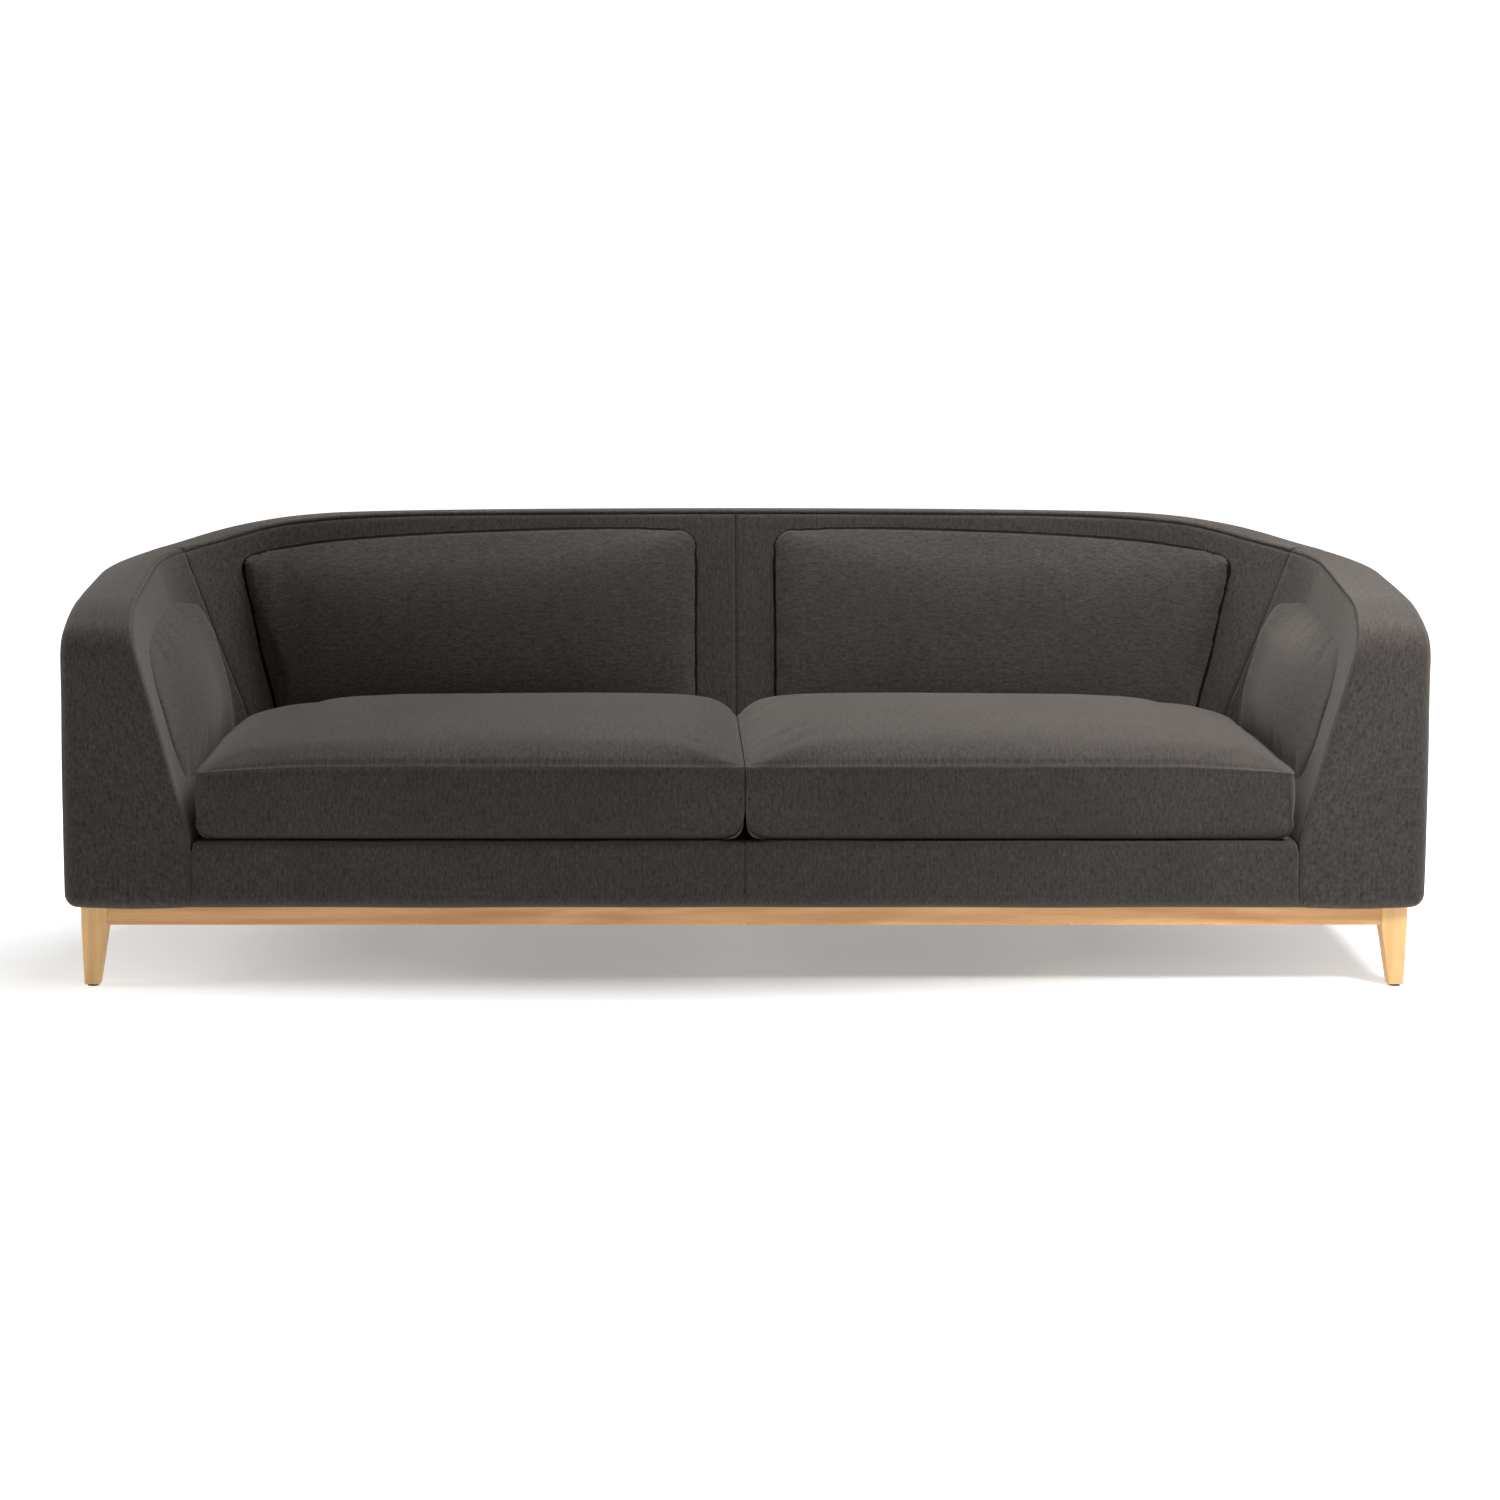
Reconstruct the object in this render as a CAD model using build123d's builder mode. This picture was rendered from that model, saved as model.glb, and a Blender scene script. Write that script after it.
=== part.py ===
from build123d import *
import os
from math import atan2, cos, sin, sqrt

# Tub sofa on a wooden leg frame. Millimetres, +Z up, front towards -Y, floor at z = 0.

# Body, outside
half_width = 1170.0
front = -440.0
back = 440.0
height = 750.0
body_bottom = 139.0
back_bow = 4500.0
rear_corner = 400.0
front_corner = 30.0
foot_round = 28.0
wall_foot = 4.0
core_foot = 12.0
overreach = 100.0

# Rim line seen from the front: level in the middle, falling to the arms in one arc
rim_level = 740.0
rim_arch = 1300.0

# Arm line seen from the side: upright front, round nose, gentle rise to the back
nose_start = 560.0
nose_radius = 62.0
nose_turn = 63.0
shoulder_radius = 365.0
shoulder_turn = 20.5
arm_run = 484.0
sweep_radius = 190.0
sweep_turn = 42.0

# Seat well between the arms: leaning sides, raked and bowed back
deck_top = 256.0
well_top = 790.0
seat_half = 941.0
seat_back = 200.0
arm_lean = 0.267
back_rake = 0.338
low_bow = 40000.0
low_corner = 130.0
high_bow = 4500.0
high_corner = 310.0

# Upholstery thicknesses and seams
cover = 18.0
lining_depth = 26.0
strap_room = 3.0
fit_gap = 0.5
outer_seam = 160.0
corner_seam = 180.0
deck_thick = 13.0
deck_room = 3.0
dust_thick = 3.0
dust_inset = 34.0

# Pads sewn onto the inside panels: place, lower end, upper end, swell
pad_tuck = 15.0
back_pad_sections = (
    (-70.0, 380.0, 640.0, 3.0),
    (-84.0, 345.0, 694.0, 14.0),
    (-120.0, 332.0, 714.0, 25.0),
    (-250.0, 330.0, 721.0, 35.0),
    (-500.0, 330.0, 717.0, 40.0),
    (-740.0, 330.0, 705.0, 36.0),
    (-850.0, 340.0, 690.0, 27.0),
    (-900.0, 520.0, 675.0, 14.0),
    (-926.0, 600.0, 650.0, 3.0),
)
arm_pad_sections = (
    (-340.0, 420.0, 500.0, 3.0),
    (-326.0, 372.0, 545.0, 13.0),
    (-290.0, 340.0, 575.0, 25.0),
    (-190.0, 330.0, 592.0, 35.0),
    (-40.0, 330.0, 603.0, 38.0),
    (80.0, 330.0, 607.0, 33.0),
    (140.0, 345.0, 600.0, 20.0),
    (165.0, 400.0, 570.0, 4.0),
)

# Leg frame
leg_outer = 1134.0
leg_front = -415.0
rear_leg_outer = 872.0
rear_leg_back = 318.0
leg_top = 45.0
leg_foot = 27.0
leg_splay = 2.5
leg_edge = 3.0
rail_high = 32.0
rail_thick = 22.0
rail_setback = 3.0
rail_edge = 4.0
glide_radius = 10.0
glide_high = 4.0
glide_pin = 1.5
pin_long = 14.0
cross_places = (-560.0, 0.0, 560.0)
cross_wide = 40.0
cross_high = 28.0
brace_thick = 24.0
brace_high = 26.0
brace_reach = 62.0
brace_long = 200.0
brace_turn = (0.755, 0.656)
bolt_radius = 4.0
bolt_long = 90.0
bolt_head = 8.0
bolt_head_high = 6.0
screw_radius = 3.0
screw_head = 6.0
screw_head_high = 4.0
screw_sink = 4.0
screw_top = 185.0
hole_room = 0.3
end_room = 2.0

# Seat frame and back frame
board = 24.0
seat_rail_low = body_bottom + dust_thick
seat_rail_top = 236.0
seat_rail_front = -417.0
seat_rail_back = 224.0
seat_rail_side = 989.0
rib_thick = 20.0
rib_room = 1.5
back_rib_places = {"back_rib_left": -420.0, "back_rib_centre": 0.0, "back_rib_right": 420.0}
arm_rib_places = {"arm_rib_front": -390.0, "arm_rib_rear": 60.0}
top_rail_high = 40.0
top_rail_joint = 640.0
top_rail_front = -408.0
bottom_rail_low = 152.0
bottom_rail_high = 50.0
bottom_rail_inset = 20.0

# Springs and webbing
spring_wire = 1.75
spring_waves = 21
spring_run = 20.0
spring_level = 239.2
spring_places = [side * (160.0 + 200.0 * step) for side in (-1, 1) for step in range(4)]
clip_size = (12.0, 14.0, 6.8)
strap_levels = (320.0, 420.0, 520.0, 620.0)
strap_high = 60.0
strap_thick = 2.4

# Seat cushions: place from front to back, outer side, inner side, crown of the left cushion
cushion_seam = 384.0
cushion_bottom = 257.0
cushion_draw = 10.0
cushion_top_draw = 3.0
cushion_sink = 8.0
cushion_sections = (
    (-437.0, -932.0, -8.0, 9.0),
    (-424.0, -937.5, -5.0, 23.0),
    (-380.0, -939.0, -4.0, 36.0),
    (-240.0, -936.0, -6.0, 46.0),
    (-40.0, -935.0, -6.5, 50.0),
    (80.0, -930.0, -6.0, 48.0),
    (140.0, -908.0, -6.0, 39.0),
    (172.0, -874.0, -8.0, 22.0),
    (186.0, -846.0, -12.0, 9.0),
)
# Rise of the crown: distance in from the inner or outer end, share of the full crown
crown_from_inner = ((14.0, 0.50), (48.0, 0.82), (130.0, 0.96), (300.0, 1.0))
crown_from_outer = ((300.0, 0.94), (130.0, 0.70), (34.0, 0.33))
cushion_back = cushion_sections[-1][0]
cover_cloth = 3.0
core_room = 0.4
zip_long = 640.0
zip_high = 9.0
zip_level = 300.0
zip_middle = -430.0
slider_size = (9.0, 5.0, 12.0)
slider_room = 0.3
slider_start = -125.0
pull_size = (6.0, 1.6, 26.0)

os.makedirs("parts", exist_ok=True)


def keep(part, name):
    part.label = name
    export_step(part, f"parts/{name}.step")


def mirrored(part):
    """The same piece for the right-hand side."""
    with BuildPart() as twin:
        mirror(part, about=Plane.YZ)
    return twin.part


def keep_pair(part, name):
    keep(part, f"{name}_left")
    keep(mirrored(part), f"{name}_right")


# Plan of a tub: straight front and sides, round rear corners, a gently bowed back


def tub_corner(half, back_y, bow, corner):
    """Centre of the rear corner and the angle at which it joins the bow."""
    run = half - corner
    centre_y = back_y - bow + sqrt((bow - corner) ** 2 - run**2)
    return run, centre_y, atan2(centre_y - back_y + bow, run)


def tub_plan(half, front_y, back_y, bow, corner):
    run, centre_y, turn = tub_corner(half, back_y, bow, corner)
    join = (run + corner * cos(turn), centre_y + corner * sin(turn))
    middle = (run + corner * cos(turn / 2), centre_y + corner * sin(turn / 2))
    with BuildSketch() as plan:
        with BuildLine():
            Polyline((-half, centre_y), (-half, front_y), (half, front_y), (half, centre_y))
            ThreePointArc((half, centre_y), middle, join)
            ThreePointArc(join, (0, back_y), (-join[0], join[1]))
            ThreePointArc((-join[0], join[1]), (-middle[0], middle[1]), (-half, centre_y))
        make_face()
    return plan.sketch


def front_arch(drop):
    """Everything under the rim, seen from the front."""
    reach = half_width + overreach
    end = height - drop - rim_arch + sqrt(rim_arch**2 - (reach - rim_level) ** 2)
    with BuildSketch() as arch:
        with BuildLine():
            Polyline((-reach, end), (-reach, 0), (reach, 0), (reach, end))
            RadiusArc((reach, end), (rim_level, height - drop), -rim_arch)
            Line((rim_level, height - drop), (-rim_level, height - drop))
            RadiusArc((-rim_level, height - drop), (-reach, end), -rim_arch)
        make_face()
    return arch.sketch


def arm_profile(front_inset, drop):
    """Everything under the arm line, seen from the side."""
    start = (front + front_inset, nose_start - drop)
    with BuildSketch() as profile:
        with BuildLine():
            nose = JernArc(start, (0, 1), nose_radius, -nose_turn)
            shoulder = JernArc(nose @ 1, nose % 1, shoulder_radius, -shoulder_turn)
            arm = Line(shoulder @ 1, shoulder @ 1 + (shoulder % 1) * arm_run)
            sweep_up = JernArc(arm @ 1, arm % 1, sweep_radius, sweep_turn)
            tail = Line(sweep_up @ 1, sweep_up @ 1 + (sweep_up % 1) * height)
            Polyline(tail @ 1, ((tail @ 1).X, 0), (start[0], 0), start)
        make_face()
    return profile.sketch


def body_block(side_inset=0.0, front_inset=0.0, drop=0.0, foot=foot_round):
    """The whole body with no seat well, shrunk from its sides, front and top."""
    with BuildPart() as block:
        with BuildSketch(Plane.XY.offset(body_bottom)) as plan:
            add(tub_plan(half_width - side_inset, front + front_inset, back - side_inset,
                         back_bow - side_inset, rear_corner - side_inset))
            fillet(plan.vertices().group_by(Axis.Y)[0], front_corner - side_inset / 2)
        extrude(amount=height)
        fillet(block.faces().sort_by(Axis.Z)[0].edges(), foot)
        with BuildSketch(Plane.XZ):
            add(front_arch(drop))
        extrude(amount=2 * back, both=True, mode=Mode.INTERSECT)
        with BuildSketch(Plane.YZ):
            add(arm_profile(front_inset, drop))
        extrude(amount=2 * half_width, both=True, mode=Mode.INTERSECT)
    return block.part


# Seat well: widens upwards between leaning arms and a raked back


def well_plan(z, grow=0.0):
    """Half width, back, bow and corner radius of the well at height z."""
    rise = z - deck_top
    share = rise / (well_top - deck_top)
    bow = 1 / ((1 - share) / low_bow + share / high_bow)
    corner = low_corner + share * (high_corner - low_corner)
    return seat_half + arm_lean * rise + grow, seat_back + back_rake * rise + grow, bow, corner + grow


def back_at(x, z):
    """Where the inside back stands at x and height z."""
    half, back_y, bow, corner = well_plan(z)
    run, centre_y, turn = tub_corner(half, back_y, bow, corner)
    if abs(x) < run + corner * cos(turn):
        return back_y - bow + sqrt(bow**2 - x**2)
    return centre_y + sqrt(corner**2 - (abs(x) - run) ** 2)


def side_at(y, z):
    """Half width of the well at depth y and height z."""
    half, back_y, bow, corner = well_plan(z)
    run, centre_y, turn = tub_corner(half, back_y, bow, corner)
    if y < centre_y:
        return half
    return run + sqrt(corner**2 - (y - centre_y) ** 2)


def seat_well(grow=0.0):
    with BuildPart() as well:
        for z in (deck_top, well_top):
            half, back_y, bow, corner = well_plan(z, grow)
            with BuildSketch(Plane.XY.offset(z)):
                add(tub_plan(half, front - overreach, back_y, bow, corner))
        loft(ruled=True)
    return well.part


def portion(part, x_range, y_range, z_range=(0.0, 2 * height)):
    """The part of a solid that lies between three pairs of planes."""
    ranges = (x_range, y_range, z_range)
    with BuildPart() as piece:
        add(part)
        with Locations(tuple(sum(span) / 2 for span in ranges)):
            Box(*[high - low for low, high in ranges], mode=Mode.INTERSECT)
    return piece.part


far = 2 * half_width
left_half = (-far, 0.0)
outer = body_block()
lowered = body_block(front_inset=cover, drop=cover, foot=wall_foot)
core = body_block(side_inset=cover, front_inset=cover, drop=cover, foot=core_foot)
under_rail = body_block(side_inset=cover, front_inset=cover, drop=cover + top_rail_high, foot=core_foot)
well = seat_well()
lining_well = seat_well(lining_depth)
frame_well = seat_well(lining_depth + strap_room)

# Arm facings, rim border and base border: the sewn band over the front, the noses and the top

with BuildPart() as band:
    add(outer)
    add(lowered, mode=Mode.SUBTRACT)
    add(well, mode=Mode.SUBTRACT)

keep_pair(portion(band.part, (-far, -seat_half), (-far, outer_seam)), "arm_facing")
keep(portion(band.part, (-far, far), (outer_seam, far)), "rim_border")
keep_pair(portion(band.part, (-seat_half, 0.0), (-far, 0.0), (0.0, deck_top)), "base_border")

# Outside arms and outside back, joined by a seam at each rear corner and one at the middle

with BuildPart() as wall:
    add(lowered)
    add(outer, mode=Mode.INTERSECT)
    add(core, mode=Mode.SUBTRACT)
    add(well, mode=Mode.SUBTRACT)

wall_inner = foot_round + wall_foot - half_width
with BuildPart() as outside_arm:
    add(portion(wall.part, (-far, wall_inner), (-far, 0.0)))
    add(portion(wall.part, (-far, -seat_rail_side), (0.0, outer_seam)))

keep_pair(outside_arm.part, "outside_arm")
keep_pair(portion(wall.part, left_half, (outer_seam, far)), "outside_back")

# Inside arms and inside back: foam and cloth on the frame, seams in the corners and the middle

with BuildPart() as lining:
    add(lining_well)
    add(well, mode=Mode.SUBTRACT)
    add(core, mode=Mode.INTERSECT)

keep_pair(portion(lining.part, left_half, (-far, corner_seam)), "inside_arm")
keep_pair(portion(lining.part, left_half, (corner_seam, far)), "inside_back")

# Pads on the inside panels: flat behind, swollen in front, thinning out to a seam all round

pad_space = seat_well(-fit_gap)
rake_length = sqrt(1 + back_rake**2)
lean_length = sqrt(1 + arm_lean**2)

with BuildPart() as back_pad:
    for x, low, high, swell in back_pad_sections:
        foot_y = back_at(x, low)
        head_y = back_at(x, high)
        swollen = (
            (foot_y + head_y) / 2 - swell / rake_length,
            (low + high) / 2 + swell * back_rake / rake_length,
        )
        with BuildSketch(Plane.YZ.offset(x)):
            with BuildLine():
                ThreePointArc((foot_y, low), swollen, (head_y, high))
                Polyline((head_y, high), (head_y + pad_tuck, high), (foot_y + pad_tuck, low), (foot_y, low))
            make_face()
    loft(ruled=True)
    add(pad_space, mode=Mode.INTERSECT)

keep_pair(back_pad.part, "back_pad")

with BuildPart() as arm_pad:
    for y, low, high, swell in arm_pad_sections:
        foot_x = -side_at(y, low)
        head_x = -side_at(y, high)
        swollen = (
            (foot_x + head_x) / 2 + swell / lean_length,
            (low + high) / 2 + swell * arm_lean / lean_length,
        )
        with BuildSketch(Plane.XZ.offset(-y)):
            with BuildLine():
                ThreePointArc((foot_x, low), swollen, (head_x, high))
                Polyline((head_x, high), (head_x - pad_tuck, high), (foot_x - pad_tuck, low), (foot_x, low))
            make_face()
    loft(ruled=True)
    add(pad_space, mode=Mode.INTERSECT)

keep_pair(arm_pad.part, "arm_pad")

# Seat deck over the springs, and the dust cover under the frame

front_rail_y = leg_front + rail_setback + rail_thick / 2
front_board_y = seat_rail_front + board / 2
rear_board_y = seat_rail_back - board / 2
screw_places = [(x, front_board_y) for x in cross_places] + [(x, rear_board_y) for x in cross_places]

with BuildPart() as seat_deck:
    with BuildSketch(Plane.XY.offset(deck_top - deck_thick)):
        add(tub_plan(seat_half - deck_room, front + cover + deck_room, seat_back - deck_room,
                     low_bow, low_corner - deck_room))
    extrude(amount=deck_thick)

keep(seat_deck.part, "seat_deck")

with BuildPart() as dust_cover:
    with BuildSketch(Plane.XY.offset(body_bottom)):
        add(tub_plan(half_width - dust_inset, front + dust_inset, back - dust_inset,
                     back_bow - dust_inset, rear_corner - dust_inset))
        with Locations(*screw_places):
            Circle(screw_radius + hole_room, mode=Mode.SUBTRACT)
    extrude(amount=dust_thick)

keep(dust_cover.part, "dust_cover")

# Seat frame: five boards on edge, screwed down to the leg frame

seat_rail_high = seat_rail_top - seat_rail_low
seat_rail_middle = (seat_rail_low + seat_rail_top) / 2
seat_rail_inner = seat_rail_side - board
screw_hole_long = screw_top - seat_rail_low + end_room

for name, y in (("seat_rail_front", front_board_y), ("seat_rail_rear", rear_board_y)):
    with BuildPart() as seat_rail:
        with Locations((0, y, seat_rail_middle)):
            Box(2 * seat_rail_inner, board, seat_rail_high)
        with Locations(*[(x, y, seat_rail_low) for x in cross_places]):
            Cylinder(screw_radius + hole_room, screw_hole_long, mode=Mode.SUBTRACT,
                     align=(Align.CENTER, Align.CENTER, Align.MIN))
    keep(seat_rail.part, name)

side_long = seat_rail_back - seat_rail_front
with BuildPart() as seat_rail_left:
    with Locations((board / 2 - seat_rail_side, seat_rail_front + side_long / 2, seat_rail_middle)):
        Box(board, side_long, seat_rail_high)

keep_pair(seat_rail_left.part, "seat_rail")

with BuildPart() as seat_rail_centre:
    with Locations((0, (front_board_y + rear_board_y) / 2, seat_rail_middle)):
        Box(board, rear_board_y - front_board_y - board, seat_rail_high)

keep(seat_rail_centre.part, "seat_rail_centre")

# Sinuous seat springs, front board to rear board, each end held in a clip

spring_turn = (rear_board_y - front_board_y) / spring_waves / 2

with BuildPart() as one_spring:
    with BuildSketch(Plane.XY.offset(spring_level - spring_wire)):
        with BuildLine():
            for edge in (-spring_wire, spring_wire):
                for wave in range(spring_waves + 1):
                    side = 1 if wave % 2 == 0 else -1
                    end = side * spring_run / 2
                    y = front_board_y + 2 * spring_turn * wave
                    Line((-end, y + side * edge), (end, y + side * edge))
                    if wave < spring_waves:
                        CenterArc((end, y + spring_turn), spring_turn - side * edge, -90, side * 180)
            for y, x in ((front_board_y, -spring_run / 2), (rear_board_y, -spring_run / 2)):
                Line((x, y - spring_wire), (x, y + spring_wire))
        make_face()
    extrude(amount=2 * spring_wire)

with BuildPart() as seat_springs:
    with Locations(*[(x, 0, 0) for x in spring_places]):
        add(one_spring.part)

keep(seat_springs.part, "seat_springs")

clip_slot = 2 * (spring_wire + hole_room)
with BuildPart() as spring_clips:
    clip_places = [(x, y, seat_rail_top) for x in spring_places for y in (front_board_y, rear_board_y)]
    with Locations(*clip_places):
        Box(*clip_size, align=(Align.CENTER, Align.CENTER, Align.MIN))
    with Locations(*[(x, y, spring_level) for x, y, z in clip_places]):
        Box(2 * clip_size[0], clip_slot, clip_slot, mode=Mode.SUBTRACT)

keep(spring_clips.part, "spring_clips")

# Frame of the back and arms, all inside the upholstery

with BuildPart() as frame_space:
    add(core)
    add(frame_well, mode=Mode.SUBTRACT)

with BuildPart() as rib_space:
    add(frame_space.part)
    add(under_rail, mode=Mode.INTERSECT)

with BuildPart() as top_rail:
    add(frame_space.part)
    add(under_rail, mode=Mode.SUBTRACT)

keep_pair(portion(top_rail.part, (-far, -top_rail_joint), (top_rail_front, far)), "arm_top_rail")
keep(portion(top_rail.part, (-top_rail_joint, top_rail_joint), (0.0, far)), "back_top_rail")

with BuildPart() as bottom_rail:
    with BuildSketch(Plane.XY.offset(bottom_rail_low)):
        for inset, mode in ((bottom_rail_inset, Mode.ADD), (bottom_rail_inset + board, Mode.SUBTRACT)):
            add(tub_plan(half_width - inset, -far, back - inset, back_bow - inset, rear_corner - inset),
                mode=mode)
    extrude(amount=bottom_rail_high)
    with Locations((0, outer_seam + far / 2, 0)):
        Box(2 * far, far, 2 * height, mode=Mode.INTERSECT)

keep(bottom_rail.part, "back_bottom_rail")

for name, x in back_rib_places.items():
    with BuildPart() as back_rib:
        add(portion(rib_space.part, (x - rib_thick / 2, x + rib_thick / 2), (seat_rail_back + rib_room, far),
                    (seat_rail_low, far)))
        add(bottom_rail.part, mode=Mode.SUBTRACT)
    keep(back_rib.part, name)

arm_rib_inner = -seat_rail_side - rib_room
for name, y in arm_rib_places.items():
    keep_pair(portion(rib_space.part, (-far, arm_rib_inner), (y - rib_thick / 2, y + rib_thick / 2),
                      (seat_rail_low, far)), name)

with BuildPart() as webbing_layer:
    add(seat_well(lining_depth + hole_room + strap_thick))
    add(seat_well(lining_depth + hole_room), mode=Mode.SUBTRACT)
    with Locations((0, far / 2, 0)):
        Box(2 * top_rail_joint, far, 2 * height, mode=Mode.INTERSECT)

with BuildPart() as back_webbing:
    for level in strap_levels:
        add(portion(webbing_layer.part, (-far, far), (0.0, far), (level, level + strap_high)))

keep(back_webbing.part, "back_webbing")

# Leg frame: tapered legs, slim rails between them, cross rails under the seat frame

leg_corners = {"leg_front": (leg_outer, leg_front, -1), "leg_rear": (rear_leg_outer, rear_leg_back, 1)}
leg_shoulder = body_bottom - rail_high
rail_middle = body_bottom - rail_high / 2
bolt_planes = {}

for name, (x, y, outward) in leg_corners.items():
    corner_y = y - outward * (leg_top - rail_setback)
    start = (x - leg_top - brace_reach * brace_turn[0], corner_y - outward * brace_reach * brace_turn[1])
    bolt_way = (brace_turn[0], outward * brace_turn[1], 0)
    bolt_planes[name] = Plane((*start, rail_middle), x_dir=(0, 0, 1), z_dir=bolt_way)


def foot_centre(x, y, outward):
    inset = leg_splay + leg_foot / 2
    return x - inset, y - outward * inset


for name, (x, y, outward) in leg_corners.items():
    with BuildPart() as leg:
        top_centre = (x - leg_top / 2, y - outward * leg_top / 2)
        with BuildSketch(Plane.XY.offset(glide_high)):
            with Locations(foot_centre(x, y, outward)):
                RectangleRounded(leg_foot, leg_foot, leg_edge)
        with BuildSketch(Plane.XY.offset(leg_shoulder)):
            with Locations(top_centre):
                RectangleRounded(leg_top, leg_top, leg_edge)
        loft(ruled=True)
        with BuildSketch(Plane.XY.offset(leg_shoulder)):
            with Locations(top_centre):
                RectangleRounded(leg_top, leg_top, leg_edge)
        extrude(amount=rail_high)
        with Locations((*foot_centre(x, y, outward), glide_high)):
            Cylinder(glide_pin + hole_room, pin_long + end_room, mode=Mode.SUBTRACT,
                     align=(Align.CENTER, Align.CENTER, Align.MIN))
        with BuildSketch(bolt_planes[name]):
            Circle(bolt_radius + hole_room)
        extrude(amount=bolt_long + end_room, mode=Mode.SUBTRACT)
    keep_pair(mirrored(leg.part), name)

with BuildPart() as floor_glides:
    for x, y, outward in leg_corners.values():
        with Locations((*foot_centre(x, y, outward), 0)):
            Cylinder(glide_radius, glide_high, align=(Align.CENTER, Align.CENTER, Align.MIN))
            Cylinder(glide_pin, glide_high + pin_long, align=(Align.CENTER, Align.CENTER, Align.MIN))
    mirror(about=Plane.YZ)

keep(floor_glides.part, "floor_glides")

rear_rail_y = rear_leg_back - rail_setback - rail_thick / 2
with BuildPart() as plinth_rail_front:
    with Locations((0, front_rail_y, rail_middle)):
        Box(2 * (leg_outer - leg_top), rail_thick, rail_high)
    fillet(plinth_rail_front.edges().filter_by(Axis.X).group_by(Axis.Z)[0], rail_edge)
    sink = [(x, front_board_y, leg_shoulder) for x in cross_places]
    with Locations(*sink):
        Cylinder(screw_radius + hole_room, 3 * rail_high, mode=Mode.SUBTRACT)
        Cylinder(screw_head + hole_room, 2 * (screw_head_high + screw_sink), mode=Mode.SUBTRACT)

keep(plinth_rail_front.part, "plinth_rail_front")

with BuildPart() as plinth_rail_rear:
    with Locations((0, rear_rail_y, rail_middle)):
        Box(2 * (rear_leg_outer - leg_top), rail_thick, rail_high)
    fillet(plinth_rail_rear.edges().filter_by(Axis.X).group_by(Axis.Z)[0], rail_edge)

keep(plinth_rail_rear.part, "plinth_rail_rear")

side_start = (leg_outer - rail_setback, leg_front + leg_top)
side_end = (rear_leg_outer - rail_setback, rear_leg_back - leg_top)
with BuildPart() as plinth_rail_right:
    with BuildSketch(Plane.XY.offset(leg_shoulder)):
        with BuildLine():
            Polyline(side_start, side_end, (side_end[0] - rail_thick, side_end[1]),
                     (side_start[0] - rail_thick, side_start[1]), side_start)
        make_face()
    extrude(amount=rail_high)

keep_pair(mirrored(plinth_rail_right.part), "plinth_rail")

cross_front = front_rail_y + rail_thick / 2
cross_back = rear_rail_y - rail_thick / 2
with BuildPart() as plinth_cross_rails:
    cross_middle = ((cross_front + cross_back) / 2, body_bottom - cross_high / 2)
    with Locations(*[(x, *cross_middle) for x in cross_places]):
        Box(cross_wide, cross_back - cross_front, cross_high)
    with Locations(*[(x, rear_board_y, body_bottom - cross_high) for x in cross_places]):
        Cylinder(screw_radius + hole_room, 3 * cross_high, mode=Mode.SUBTRACT)
        Cylinder(screw_head + hole_room, 2 * (screw_head_high + screw_sink), mode=Mode.SUBTRACT)

keep(plinth_cross_rails.part, "plinth_cross_rails")

# Corner braces let into the rails, with a bolt through each into its leg

side_slope = (side_end[0] - side_start[0]) / (side_end[1] - side_start[1])


def side_inner(y):
    """Inner face of the right side rail at depth y."""
    return side_start[0] - rail_thick + side_slope * (y - side_start[1])


with BuildPart() as leg_braces:
    for plane in bolt_planes.values():
        with BuildSketch(plane):
            Rectangle(brace_high, brace_long)
            Circle(bolt_radius + hole_room, mode=Mode.SUBTRACT)
        extrude(amount=brace_thick)
    with BuildSketch():
        with BuildLine():
            Polyline((0, cross_front), (side_inner(cross_front), cross_front),
                     (side_inner(cross_back), cross_back), (0, cross_back), (0, cross_front))
        make_face()
    extrude(amount=height, mode=Mode.INTERSECT)
    mirror(about=Plane.YZ)

keep(leg_braces.part, "leg_braces")

with BuildPart() as leg_bolts:
    for plane in bolt_planes.values():
        with BuildSketch(plane):
            Circle(bolt_radius)
        extrude(amount=bolt_long)
        with BuildSketch(plane):
            RegularPolygon(bolt_head, 6)
        extrude(amount=-bolt_head_high)
    mirror(about=Plane.YZ)

keep(leg_bolts.part, "leg_bolts")

with BuildPart() as frame_screws:
    for y, low in ((front_board_y, leg_shoulder), (rear_board_y, body_bottom - cross_high)):
        head_low = low + screw_sink
        with Locations(*[(x, y, head_low) for x in cross_places]):
            Cylinder(screw_head, screw_head_high, align=(Align.CENTER, Align.CENTER, Align.MIN))
            Cylinder(screw_radius, screw_top - head_low, align=(Align.CENTER, Align.CENTER, Align.MIN))

keep(frame_screws.part, "frame_screws")

# Loose seat cushions: crowned, drawn in between the corners, round at the outer rear corner


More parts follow.
